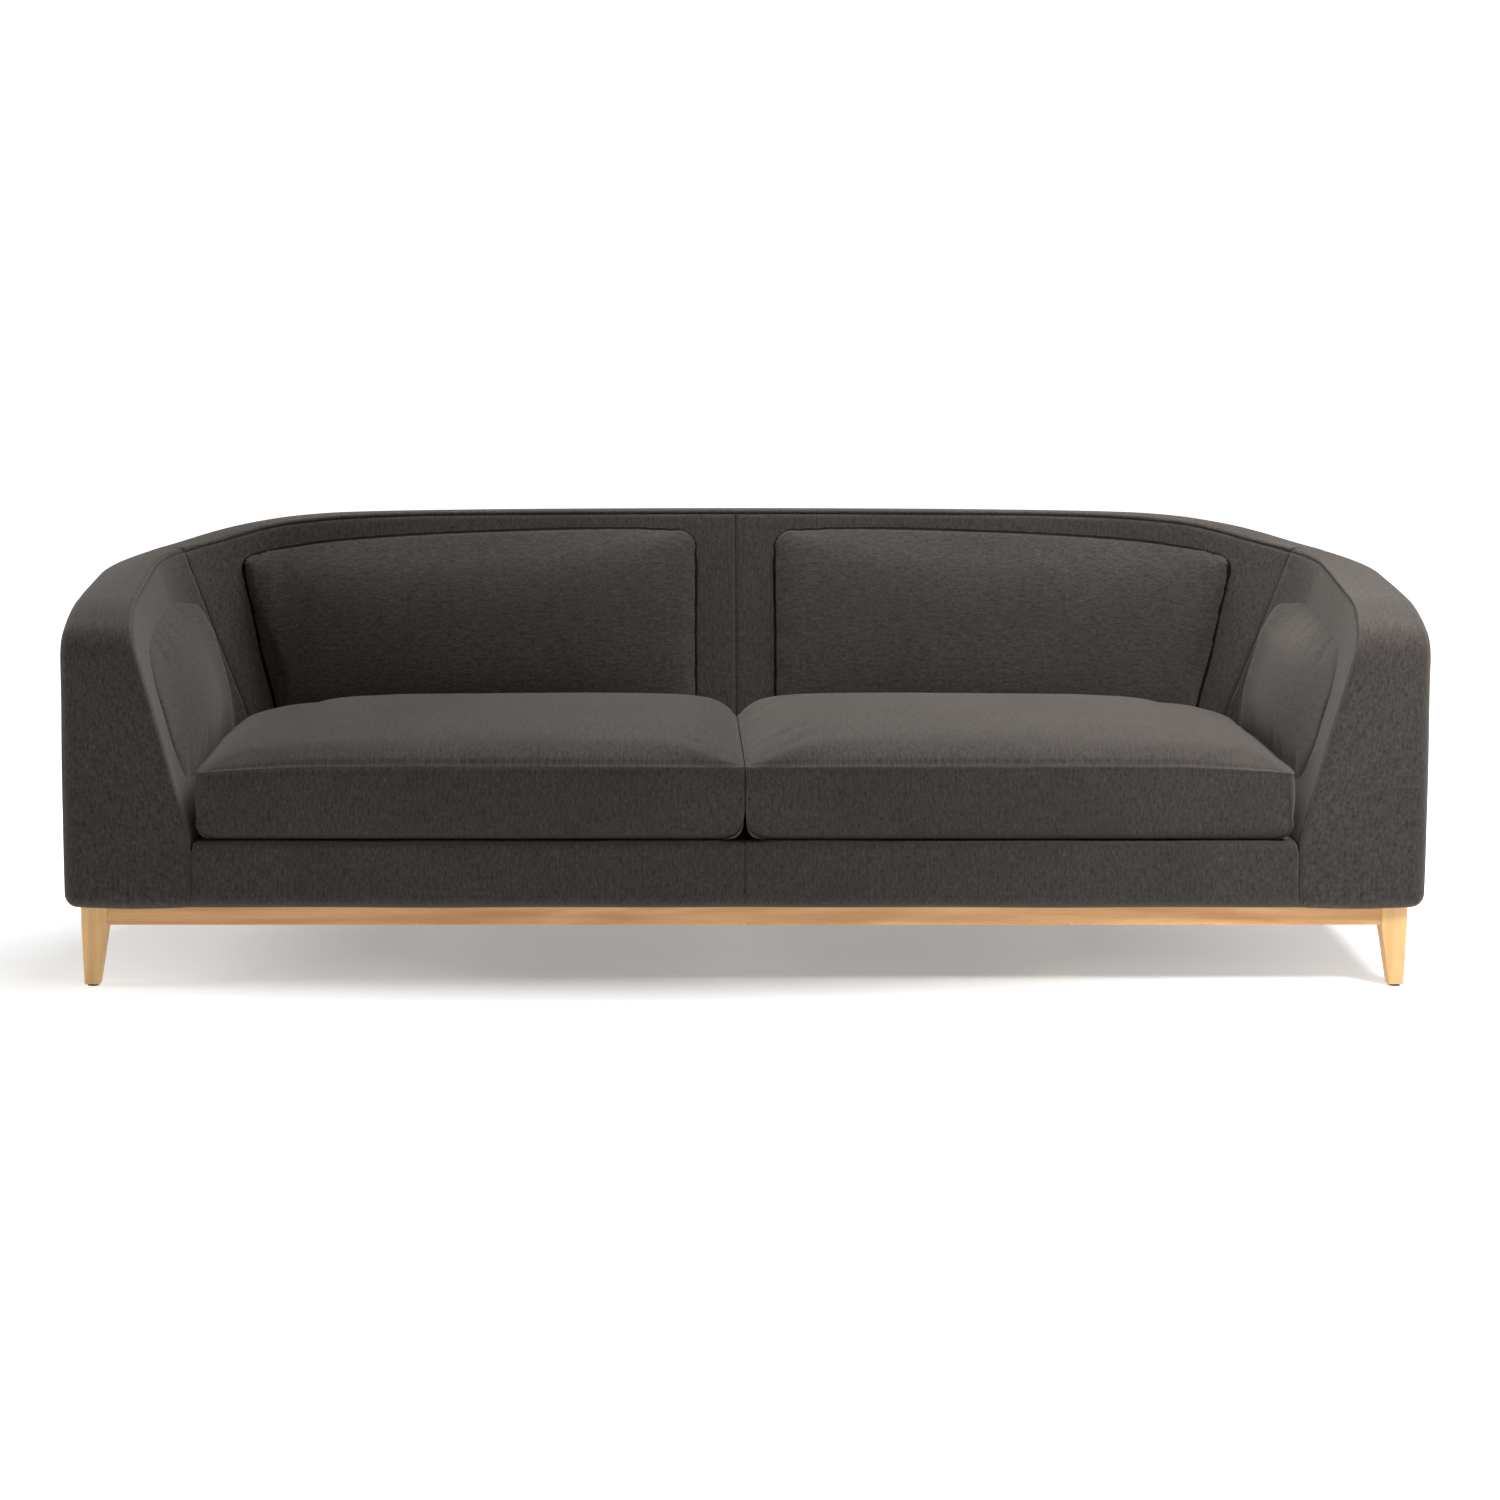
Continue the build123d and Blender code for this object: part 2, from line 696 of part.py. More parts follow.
def cushion_form(inset):
    last = len(cushion_sections) - 1
    with BuildPart() as form:
        for step, (y, outer_x, inner_x, crown) in enumerate(cushion_sections):
            y += inset if step == 0 else -inset if step == last else 0.0
            low, seam = cushion_bottom + inset, cushion_seam - inset
            left, right = outer_x + inset, inner_x - inset
            half_high = (low + seam) / 2
            foot_left, foot_right = (left + cushion_draw, low), (right - cushion_draw, low)
            top_left = (left + cushion_top_draw, seam - cushion_sink)
            top_right = (right - cushion_top_draw, seam)
            with BuildSketch(Plane.XZ.offset(-y)):
                with BuildLine():
                    Line(foot_left, foot_right)
                    ThreePointArc(foot_right, (right, half_high), top_right)
                    Spline(top_right,
                           *[(right - reach, seam + share * crown) for reach, share in crown_from_inner],
                           *[(left + reach, seam + share * crown) for reach, share in crown_from_outer],
                           top_left)
                    ThreePointArc(top_left, (left, half_high), foot_left)
                make_face()
        loft()
    return form.part


with BuildPart() as cushion_cover:
    add(cushion_form(0.0))
    add(cushion_form(cover_cloth), mode=Mode.SUBTRACT)
    with Locations((zip_middle, cushion_back, zip_level)):
        Box(zip_long, 4 * cover_cloth, zip_high, mode=Mode.SUBTRACT)

keep_pair(cushion_cover.part, "cushion_cover")
keep_pair(cushion_form(cover_cloth + core_room), "cushion_core")

with BuildPart() as cushion_zip:
    with Locations((zip_middle, cushion_back - cover_cloth / 2, zip_level)):
        Box(zip_long, cover_cloth, zip_high)

keep_pair(cushion_zip.part, "cushion_zip")

with BuildPart() as zip_slider:
    slider_y = cushion_back + slider_room + slider_size[1] / 2
    with Locations((slider_start, slider_y, zip_level)):
        Box(*slider_size)
    with Locations((slider_start, slider_y, zip_level - slider_size[2] / 2)):
        Box(*pull_size)

keep_pair(zip_slider.part, "zip_slider")
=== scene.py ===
from itertools import product
from math import pi, radians

import bpy
import numpy as np
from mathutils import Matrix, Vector


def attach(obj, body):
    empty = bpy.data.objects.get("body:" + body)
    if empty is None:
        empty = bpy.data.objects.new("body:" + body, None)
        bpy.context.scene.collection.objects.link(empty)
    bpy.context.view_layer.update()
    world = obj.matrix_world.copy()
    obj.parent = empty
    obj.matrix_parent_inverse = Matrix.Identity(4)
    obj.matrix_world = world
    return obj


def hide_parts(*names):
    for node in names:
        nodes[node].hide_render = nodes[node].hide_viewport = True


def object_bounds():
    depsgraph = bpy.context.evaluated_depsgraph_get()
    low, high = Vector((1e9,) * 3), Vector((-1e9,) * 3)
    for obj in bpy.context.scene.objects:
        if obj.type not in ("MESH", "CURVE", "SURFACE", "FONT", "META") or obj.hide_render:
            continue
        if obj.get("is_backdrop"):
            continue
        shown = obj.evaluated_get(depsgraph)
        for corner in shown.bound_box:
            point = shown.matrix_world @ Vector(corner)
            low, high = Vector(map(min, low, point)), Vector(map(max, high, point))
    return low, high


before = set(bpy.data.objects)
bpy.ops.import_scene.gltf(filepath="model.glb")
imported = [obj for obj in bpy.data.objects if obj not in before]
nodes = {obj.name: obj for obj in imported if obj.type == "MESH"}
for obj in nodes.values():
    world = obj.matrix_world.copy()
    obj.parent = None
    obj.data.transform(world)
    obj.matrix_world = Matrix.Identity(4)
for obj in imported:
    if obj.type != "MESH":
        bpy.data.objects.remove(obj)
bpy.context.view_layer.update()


# Leg frame. Four tapered legs and slim rails of solid oak, glued at the corners and finished with
# a clear satin lacquer. The grain runs along each piece.

def place(tree, kind, inputs, **settings):
    """One shader node with its settings, its sockets set or joined up."""
    made = tree.nodes.new(kind)
    for key, value in settings.items():
        setattr(made, key, value)
    for key, value in inputs.items():
        if isinstance(value, bpy.types.NodeSocket):
            tree.links.new(value, made.inputs[key])
        else:
            made.inputs[key].default_value = value
    return made


def sums(tree, operation, first, second):
    return place(tree, "ShaderNodeMath", {0: first, 1: second}, operation=operation).outputs[0]


def weighted(tree, *terms):
    """The sum of values, each times its share."""
    total, *rest = [sums(tree, "MULTIPLY", value, share) for value, share in terms]
    for term in rest:
        total = sums(tree, "ADD", total, term)
    return total


def spread_range(tree, value, low, high, to_low=0.0, to_high=1.0):
    sockets = {0: value, 1: low, 2: high, 3: to_low, 4: to_high}
    return place(tree, "ShaderNodeMapRange", sockets).outputs[0]


def stretched(tree, vector, factors):
    return place(tree, "ShaderNodeVectorMath", {0: vector, 1: factors}, operation="MULTIPLY").outputs[0]


def noise(tree, vector, scale, detail, dimensions="3D", **more):
    sockets = {"Vector": vector, "Scale": scale, "Detail": detail, **more}
    return place(tree, "ShaderNodeTexNoise", sockets, noise_dimensions=dimensions).outputs[0]


COLOUR, VALUE, VECTOR = "NodeSocketColor", "NodeSocketFloat", "NodeSocketVector"


def effect(name, **takes):
    """A node group, still empty, that takes two colours and some values and gives a look."""
    group = bpy.data.node_groups.new(name, "ShaderNodeTree")
    for label, kind in {"Pale": COLOUR, "Deep": COLOUR, **takes}.items():
        group.interface.new_socket(label, in_out="INPUT", socket_type=kind)
    for label, kind in {"Color": COLOUR, "Height": VALUE, "Roughness": VALUE}.items():
        group.interface.new_socket(label, in_out="OUTPUT", socket_type=kind)
    return group, group.nodes.new("NodeGroupInput").outputs, group.nodes.new("NodeGroupOutput").inputs


def mix_colours(tree, share, first, second):
    return place(tree, "ShaderNodeMix", {0: share, 6: first, 7: second}, data_type="RGBA").outputs[2]


grain, grain_in, grain_out = effect("wood_grain", Stretch=VECTOR, Gloss=VALUE)
where = place(grain, "ShaderNodeTexCoord", {}).outputs["Object"]
along = stretched(grain, where, grain_in["Stretch"])
ring_count = 46.0
flame = noise(grain, along, 11.0, 2.0, Distortion=0.6)
rings = sums(grain, "SINE", sums(grain, "MULTIPLY", flame, ring_count), 0.0)
rings = spread_range(grain, rings, -1.0, 1.0)
streaks = spread_range(grain, noise(grain, along, 70.0, 5.0, Roughness=0.62), 0.30, 0.72)
pores = spread_range(grain, noise(grain, along, 420.0, 1.0), 0.56, 0.70)
figure = weighted(grain, (rings, 0.38), (streaks, 0.62))
plain = mix_colours(grain, figure, grain_in["Pale"], grain_in["Deep"])
pored = mix_colours(grain, sums(grain, "MULTIPLY", pores, 0.35), plain, grain_in["Deep"])
gloss = sums(grain, "ADD", grain_in["Gloss"], sums(grain, "MULTIPLY", figure, 0.15))
grain.links.new(pored, grain_out["Color"])
grain.links.new(sums(grain, "SUBTRACT", figure, pores), grain_out["Height"])
grain.links.new(gloss, grain_out["Roughness"])


def finish(name, group, colours, values, bump, depth, **sockets):
    """A material whose colour, roughness and relief come from one of the shared effects."""
    material = bpy.data.materials.new(name)
    material.use_nodes = True
    tree = material.node_tree
    shader = tree.nodes["Principled BSDF"]
    source = place(tree, "ShaderNodeGroup", {}, node_tree=group)
    for key, colour in zip(("Pale", "Deep"), colours):
        source.inputs[key].default_value = (*colour, 1.0)
    for key, value in values.items():
        source.inputs[key].default_value = value
    raised = {"Height": source.outputs["Height"], "Strength": bump, "Distance": depth}
    relief = place(tree, "ShaderNodeBump", raised)
    tree.links.new(source.outputs["Color"], shader.inputs["Base Color"])
    tree.links.new(source.outputs["Roughness"], shader.inputs["Roughness"])
    tree.links.new(relief.outputs[0], shader.inputs["Normal"])
    for key, value in sockets.items():
        shader.inputs[key.replace("_", " ")].default_value = value
    return material


def dress(names, material):
    for name in names:
        nodes[name].data.materials.clear()
        nodes[name].data.materials.append(material)


def sides(*names):
    return [f"{name}_{side}" for name in names for side in ("left", "right")]


# Legs and rails are one oak, given as a lighter copy for the legs and a darker copy for the rails. The
# difference is painted light and shade, not a difference in the wood.
leg_oak = ((0.78, 0.50, 0.225), (0.58, 0.32, 0.118))
shaded_rail_oak = ((0.68, 0.385, 0.155), (0.47, 0.215, 0.068))
for length, stretch, colours, pieces in (
    ("upright", (1.0, 1.0, 0.06), leg_oak, sides("leg_front", "leg_rear")),
    ("lengthwise", (0.05, 1.0, 1.0), shaded_rail_oak, ["plinth_rail_front", "plinth_rail_rear"]),
    ("crosswise", (1.0, 0.05, 1.0), shaded_rail_oak, sides("plinth_rail")),
):
    values = {"Stretch": stretch, "Gloss": 0.36}
    dress(pieces, finish(f"oak_{length}", grain, colours, values, bump=0.25, depth=0.0006))


# Hidden timber. Sawn softwood and birch ply for the cross rails, corner braces, seat frame, ribs
# and top rails, glued and screwed together and left unfinished.

pine = ((0.62, 0.45, 0.25), (0.45, 0.28, 0.13))
for length, stretch, pieces in (
    ("upright", (1.0, 1.0, 0.08),
     ["back_rib_left", "back_rib_centre", "back_rib_right", *sides("arm_rib_front", "arm_rib_rear")]),
    ("lengthwise", (0.06, 1.0, 1.0),
     ["seat_rail_front", "seat_rail_rear", "back_top_rail", "back_bottom_rail", "leg_braces"]),
    ("crosswise", (1.0, 0.06, 1.0),
     ["seat_rail_left", "seat_rail_right", "seat_rail_centre", "plinth_cross_rails", *sides("arm_top_rail")]),
):
    values = {"Stretch": stretch, "Gloss": 0.62}
    dress(pieces, finish(f"sawn_timber_{length}", grain, pine, values, bump=0.5, depth=0.0008))


# Fittings. Zinc-plated bolts, screws and seat springs, moulded plastic spring clips and floor
# glides, and woven elastic straps stapled across the back frame.

speckle, speckle_in, speckle_out = effect("fine_speckle", Scale=VALUE, Gloss=VALUE)
where = place(speckle, "ShaderNodeTexCoord", {}).outputs["Object"]
dots = spread_range(speckle, noise(speckle, where, speckle_in["Scale"], 4.0), 0.3, 0.7)
gloss = sums(speckle, "ADD", speckle_in["Gloss"], sums(speckle, "MULTIPLY", dots, 0.18))
speckle.links.new(mix_colours(speckle, dots, speckle_in["Deep"], speckle_in["Pale"]), speckle_out["Color"])
speckle.links.new(dots, speckle_out["Height"])
speckle.links.new(gloss, speckle_out["Roughness"])


def speckled(name, pale, deep, scale, gloss, bump, depth, **sockets):
    """A plain finish with a fine speckle."""
    values = {"Scale": scale, "Gloss": gloss}
    return finish(name, speckle, (pale, deep), values, bump, depth, **sockets)


zinc = speckled("zinc_plated_steel", (0.62, 0.63, 0.65), (0.42, 0.43, 0.45), scale=420.0, gloss=0.28,
                bump=0.15, depth=0.0003, Metallic=1.0)
dress(["leg_bolts", "frame_screws", "seat_springs"], zinc)
plastic = speckled("moulded_plastic", (0.030, 0.030, 0.032), (0.018, 0.018, 0.019), scale=900.0, gloss=0.42,
                   bump=0.25, depth=0.0002)
dress(["spring_clips", "floor_glides"], plastic)
strap = speckled("elastic_strap", (0.060, 0.056, 0.054), (0.022, 0.021, 0.020), scale=700.0, gloss=0.75,
                 bump=0.6, depth=0.0008)
dress(["back_webbing"], strap)


# Outside arms and outside back. Heathered charcoal cloth over thin wadding, pulled over the frame,
# stapled under the bottom edge and sewn to the rim; seams stand at the rear corners and the middle.

cloth, cloth_in, cloth_out = effect("heathered_weave")
lie = place(cloth, "ShaderNodeTexCoord", {}).outputs["UV"]


def yarn(across, lengthways):
    """Yarns of uneven colour, long in the warp's direction, in threads to the metre."""
    return noise(cloth, stretched(cloth, lie, (across, lengthways, 1.0)), 1.0, 2.0, "2D", Roughness=0.65)


fleck = weighted(cloth, (yarn(420.0, 90.0), 0.45), (yarn(150.0, 38.0), 0.25), (yarn(190.0, 150.0), 0.30))
heather = spread_range(cloth, fleck, 0.26, 0.74)
thread_pitch = 0.0022
threads = [sums(cloth, "MULTIPLY", axis, 2 * pi / thread_pitch)
           for axis in place(cloth, "ShaderNodeSeparateXYZ", {0: lie}).outputs[:2]]
weave = sums(cloth, "MULTIPLY", *[sums(cloth, "SINE", thread, 0.0) for thread in threads])
cloud = spread_range(cloth, yarn(7.0, 5.0), 0.3, 0.7)
heathered = mix_colours(cloth, heather, cloth_in["Deep"], cloth_in["Pale"])
clouded = mix_colours(cloth, sums(cloth, "MULTIPLY", cloud, 0.16), heathered, cloth_in["Deep"])
cloth.links.new(clouded, cloth_out["Color"])
cloth.links.new(weighted(cloth, (weave, 0.5), (heather, 0.12)), cloth_out["Height"])
cloth.links.new(spread_range(cloth, heather, 0.0, 1.0, 0.95, 0.84), cloth_out["Roughness"])

cover_cloth = finish("charcoal_cloth", cloth, ((0.0620, 0.0541, 0.0482), (0.0115, 0.0099, 0.0088)), {},
                     bump=0.55, depth=0.0012, Sheen_Weight=0.26, Sheen_Roughness=0.45,
                     Sheen_Tint=(0.64, 0.58, 0.535, 1.0), Specular_IOR_Level=0.18)

half_width, front_face, rim_top, body_bottom = 1.160, -0.440, 0.750, 0.139
foot_round = 0.028
outer_plan = (half_width, 0.440, 4.500, 0.400)


def tub(half, back, bow, corner):
    """Centre of the right rear corner of a tub's outline, and how far the corner turns."""
    run = half - corner
    centre = back - bow + np.sqrt((bow - corner) ** 2 - run**2)
    return run, centre, np.arctan2(centre - back + bow, run)


def tub_point(plan, station, start_y):
    """x and y on the right half of an outline.

    Station -1 to 0 runs along the arm, 0 to 1 round the corner and 1 to 2 to the middle of the back.
    """
    half, back, bow, corner = plan
    run, centre, turn = tub(*plan)
    angle = turn * np.clip(station, 0, 1)
    x = run + corner * np.cos(angle)
    y = centre + corner * np.sin(angle) + np.minimum(station, 0) * (centre - start_y)
    bow_x = (run + corner * np.cos(turn)) * (2 - np.clip(station, 1, 2))
    return np.where(station > 1, bow_x, x), np.where(station > 1, back - bow + np.sqrt(bow**2 - bow_x**2), y)


def arc(centre, radius, start, end, count):
    angles = np.radians(np.linspace(start, end, count + 1))
    return np.stack([centre[0] + radius * np.cos(angles), centre[1] + radius * np.sin(angles)], axis=1)


toe_round, nose_round, shoulder_round, sweep_round = 0.0275, 0.062, 0.365, 0.190
nose_high = 0.566
shoulder_centre = (-0.24045, 0.29604)
arm_slope = 6.5
front_foot = arc((front_face + toe_round, body_bottom + toe_round), toe_round, 270, 180, 9)
nose = arc((front_face + nose_round, nose_high), nose_round, 180, 117, 12)
shoulder = arc(shoulder_centre, shoulder_round, 117, 90 + arm_slope, 14)
arm_end = np.array((0.1991, 0.7075))
sweep_centre = (arm_end[0] - sweep_round * np.sin(radians(arm_slope)),
                arm_end[1] + sweep_round * np.cos(radians(arm_slope)))
sweep = arc(sweep_centre, sweep_round, 270 + arm_slope, 318.5, 8)
arm_line = np.concatenate([nose, shoulder[1:], sweep, [[1.5, 2.3]]])
arch_round, arch_start, arch_ease = 1.300, 0.740, 0.012


def rim_height(x, y):
    """Height of the rim: the lower of the arch across the back and the line of the arms, eased together."""
    arch = rim_top - arch_round + np.sqrt(arch_round**2 - np.maximum(np.abs(x) - arch_start, 0) ** 2)
    arm = np.interp(y, arm_line[:, 0], arm_line[:, 1])
    return np.minimum(arch, arm) - arch_ease * np.log1p(np.exp(-np.abs(arch - arm) / arch_ease))


seat_level, well_half, well_lean = 0.256, 0.941, 0.267


def well_plan(z):
    """The outline of the seat well at height z: leaning sides, raked back."""
    rise = z - seat_level
    share = rise / 0.534
    bow = 1 / ((1 - share) / 40.0 + share / 4.5)
    return well_half + well_lean * rise, 0.200 + 0.338 * rise, bow, 0.130 + 0.180 * share


def leaned(x, z):
    """The sides of the tub lean in a little above the seat."""
    return x * (1 - 0.0110 * np.maximum(z - 0.33, 0))


def unit(vectors):
    return vectors / np.linalg.norm(vectors, axis=-1, keepdims=True)


def stations(*marks):
    """Places along the rim between marks, close together at a seam."""
    runs = []
    for (low, high, count), (close_low, close_high) in marks:
        run = np.linspace(low, high, count)
        step = np.array([0.0, 0.003, 0.008, 0.014, 0.022]) * (high - low) / abs(high - low)
        if close_low:
            run = np.concatenate([low + step, run[run > low + 0.03]])
        if close_high:
            run = np.concatenate([run[run < high - 0.03], high - step[::-1]])
        runs.append(run)
    return np.concatenate([runs[0], *[run[1:] for run in runs[1:]]])


rim_seam = 0.370
rim_start = -0.277
arm_stations = stations(((-1.0, 0.0, 24), (False, False)), ((0.0, rim_seam, 22), (False, True)))
back_stations = stations(((rim_seam, 1.0, 26), (True, False)), ((1.0, 2.0, 56), (False, True)))


def outer_station(station):
    return np.interp(station, [-1, 0, rim_seam, 1, 2], [-1, 0, 0.372, 1, 2])


def rim_edges(station):
    """Inner and outer edge of the rim and the way down the inside, at each station."""
    x, y = tub_point(outer_plan, outer_station(station), rim_start)
    z = rim_height(x, y)
    outer = np.stack([leaned(x, z), y, z], axis=1)
    z = np.full_like(station, 0.70)
    for _ in range(8):
        x, y = tub_point(well_plan(z), station, rim_start)
        z = rim_height(x, y)
    inner = np.stack([x, y, z], axis=1)
    x, y = tub_point(well_plan(z - 0.02), station, rim_start)
    return inner, outer, unit(np.stack([x, y, z - 0.02], axis=1) - inner)


upright = np.linspace(front_foot[-1, 1], nose_high, 31)[1:-1]
slope = np.linspace(shoulder[-1, 0], rim_start, 3)[1:-1]
front_line = np.concatenate([
    front_foot,
    np.stack([np.full_like(upright, front_face), upright], axis=1),
    nose,
    shoulder[1:],
    np.stack([slope, np.interp(slope, arm_line[:, 0], arm_line[:, 1])], axis=1),
])
facing_outer = np.column_stack([leaned(half_width, front_line[:, 1]), front_line])
lean = well_half + well_lean * np.maximum(front_line[:, 1] - seat_level, 0)
facing_inner = np.column_stack([lean, front_line])


def surface_normals(grid):
    return unit(np.cross(np.gradient(grid, axis=1), np.gradient(grid, axis=0)))


def band_frame(inner, outer):
    """Direction across the band, and out of its surface."""
    across = unit(outer - inner)
    return across, unit(np.cross(across, np.gradient((inner + outer) / 2, axis=0)))


well_side = unit(np.array([-1.0, 0.0, well_lean]))
_, facing_out = band_frame(facing_inner, facing_outer)
facing_inward = unit(-facing_out + (facing_out @ well_side)[:, None] * well_side)
rim_inner, rim_outer, rim_inward = rim_edges(arm_stations)
ease_in = np.clip((front_line[:, 0] + 0.42) / 0.14, 0, 1)
facing_outer[:, 2] += (rim_outer[0, 2] - rim_inner[0, 2]) * ease_in**2 * (3 - 2 * ease_in)
facing_inner = np.concatenate([facing_inner, rim_inner])
facing_outer = np.concatenate([facing_outer, rim_outer])
facing_inward = np.concatenate([facing_inward, rim_inward])
back_inner, back_outer, back_inward = rim_edges(back_stations)

# The cloth covers the rim's edges this far in and down before it meets the seams.
back_cover = np.interp(back_stations, [rim_seam, rim_seam + 0.15], [0.0098, 0.007])
cover_marks = [0, len(front_line), len(facing_inner) - 1]
facing_cover = np.interp(np.arange(len(facing_inner)), cover_marks, [0.013, 0.011, 0.0098])
facing_round, seam_below = 0.0230, 0.0017
back_round = np.interp(back_stations, [rim_seam, 0.85], [facing_round, 0.0335])
facing_depth = np.full(len(facing_outer), facing_round + seam_below)
back_depth = back_round + seam_below
facing_seam_in = facing_inner + facing_cover[:, None] * facing_inward
facing_seam_out = facing_outer - facing_depth[:, None] * band_frame(facing_inner, facing_outer)[1]
back_seam_in = back_inner + back_cover[:, None] * back_inward
back_seam_out = back_outer - back_depth[:, None] * band_frame(back_inner, back_outer)[1]

seam_deep, seam_wide, hem = 0.0050, 0.009, 0.005
seam_steps = np.array([0.0, 0.001, 0.0025, 0.0045, 0.007, 0.010])
tucked_steps = np.concatenate([[-hem], seam_steps])


def rolled(distance):
    """How deep a padded edge dips as it turns into its seam."""
    inside = np.clip(distance / seam_wide, 0, 1)
    return seam_deep * (1 - np.sqrt(1 - (1 - inside) ** 2)) + np.clip(-distance, 0, hem) * 0.8


def edged(length, step, tucked=True):
    """Distances over a panel, close together at its seams, with or without a hem tucked under."""
    middle = np.linspace(0.010, length - 0.010, max(3, round(length / step)))[1:-1]
    end = tucked_steps if tucked else seam_steps
    return np.concatenate([end, middle, length - end[::-1]])


def to_line(points, line):
    """Shortest distance from points to a line of points."""
    flat = points.reshape(-1, points.shape[-1])
    start, run = line[:-1], np.diff(line, axis=0)
    length = np.maximum((run**2).sum(axis=1), 1e-12)
    best = np.full(len(flat), 1e9)
    for origin, step, size in zip(start, run, length):
        share = np.clip(((flat - origin) @ step) / size, 0, 1)
        best = np.minimum(best, np.linalg.norm(flat - origin - share[:, None] * step, axis=1))
    return best.reshape(points.shape[:-1])


def slack(grid, height):
    """Slow unevenness of hand-pulled cloth."""
    x, y, z = grid[..., 0], grid[..., 1], grid[..., 2]
    ripple = 0.6 * np.sin(31 * z + 23 * y + 7 * x)
    return height * (np.sin(17 * x + 5 * z + 1.3) * np.sin(11 * z - 13 * y + 0.4) + ripple)


def walked(steps):
    """Distance from the start of a line to the end of each of its steps."""
    return np.concatenate([[0], np.cumsum(steps)])


def along_line(line):
    """Distance along a line of points from its start."""
    return walked(np.linalg.norm(np.diff(line, axis=0), axis=1))


def grid_faces(rows, columns):
    """Faces of a grid of points, and the points round its edge."""
    index = np.arange(rows * columns).reshape(rows, columns)
    corners = [index[:-1, :-1], index[:-1, 1:], index[1:, 1:], index[1:, :-1]]
    loop = np.concatenate([index[0, :-1], index[:-1, -1], index[-1, :0:-1], index[:0:-1, 0]])
    return np.stack(corners, axis=-1).reshape(-1, 4), loop


def put_in(name, data):
    """A new object in the scene."""
    made = bpy.data.objects.new(name, data)
    bpy.context.scene.collection.objects.link(made)
    return made


def make_piece(name, points, faces, flat, mirrored, material):
    """A piece from points and faces, with the lie of its cloth at each face corner."""
    if mirrored:
        points = points * (-1, 1, 1)
        faces, flat = faces[:, ::-1], flat[:, ::-1]
    mesh = bpy.data.meshes.new(name)
    mesh.from_pydata(points.tolist(), [], faces.tolist())
    mesh.uv_layers.new(name="lay").data.foreach_set("uv", np.ascontiguousarray(flat).ravel())
    mesh.shade_smooth()
    mesh.materials.append(material)
    return put_in(name, mesh)


def sew(name, grid, mirrored, material, warp=1, lay=(1.0, 1.0)):
    """A panel of cloth from rows of points, laid out flat for the weave."""
    down = walked(np.linalg.norm(np.diff(grid, axis=0), axis=2).mean(axis=1) * lay[0])
    over = walked(np.linalg.norm(np.diff(grid, axis=1), axis=2).mean(axis=0) * lay[1])
    flat = np.stack(np.meshgrid(down, over, indexing="ij")[::warp], axis=-1).reshape(-1, 2)
    faces, _ = grid_faces(*grid.shape[:2])
    return make_piece(name, grid.reshape(-1, 3), faces, flat[faces], mirrored, material)


def turned_in(grid, dip, tucked=0):
    """A panel pushed in along its seams; the last rows follow the row before them into the seam."""
    out = surface_normals(grid)
    if tucked:
        out[:, -tucked:] = out[:, [-tucked - 1]]
    return grid - out * dip[..., None]


def pad_behind(piece):
    """Gives a panel the thickness of its cloth and wadding, behind its face."""
    thick = piece.modifiers.new("cloth_and_wadding", "SOLIDIFY")
    thick.thickness = 0.004
    thick.offset = -1.0


def declare_cover(piece, body, replaced):
    """A padded piece of the cover, on its body, in place of its nodes."""
    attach(piece, body)
    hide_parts(*replaced)


def upholster(node, grid, dip, warp=1, lay=(1.0, 1.0), tucked=0):
    """The left and right panel of a pair, turned in at the seams, thickened behind and put on the sofa body
    in place of their nodes.
    """
    shaped = turned_in(grid, dip, tucked)
    for side in ("left", "right"):
        piece = sew(f"{node}_cloth_{side}", shaped, side == "left", cover_cloth, warp, lay)
        pad_behind(piece)
        declare_cover(piece, "sofa_body", [f"{node}_{side}"])


def panel_heights(top, low, count):
    """Heights down a panel from its rim seam, close together at the seam."""
    rows = [top - distance for distance in tucked_steps]
    rows += [(top - seam_steps[-1]) * (1 - share) + low * share for share in np.linspace(0, 1, count)[1:]]
    return rows


def wall_columns(x, y, out_x, out_y, top):
    """Outside wall from its rim seam down, round the bottom edge and a little way under."""
    low = body_bottom + foot_round
    rows = [np.stack([leaned(x, z), y, z], axis=1) for z in panel_heights(top, low, 26)]
    turns = np.linspace(0, pi / 2, 8)[1:]
    under = [(foot_round * (1 - np.cos(angle)), low - foot_round * np.sin(angle)) for angle in turns]
    under += [(foot_round + stapled, body_bottom) for stapled in (0.012, 0.024)]
    for inset, level in under:
        rows.append(np.stack([x - out_x * inset, y - out_y * inset, np.full_like(x, level)], axis=1))
    return np.stack(rows, axis=1)


def seam_height(places, seam_line, front):
    """Height of a rim seam over places along the arm."""
    at_seam = np.maximum(places, front + 0.0005)
    return np.interp(at_seam, seam_line[:, 0] + np.arange(len(seam_line)) * 1e-7, seam_line[:, 1])


def from_seam(grid, seam_line, top, past_front):
    """Distance of an arm panel's points from its rim seam, less than nothing beyond the seam."""
    inside = np.sign(np.minimum(top[:, None] - grid[..., 2], past_front[:, None]))
    return to_line(grid[..., 1:], seam_line) * inside


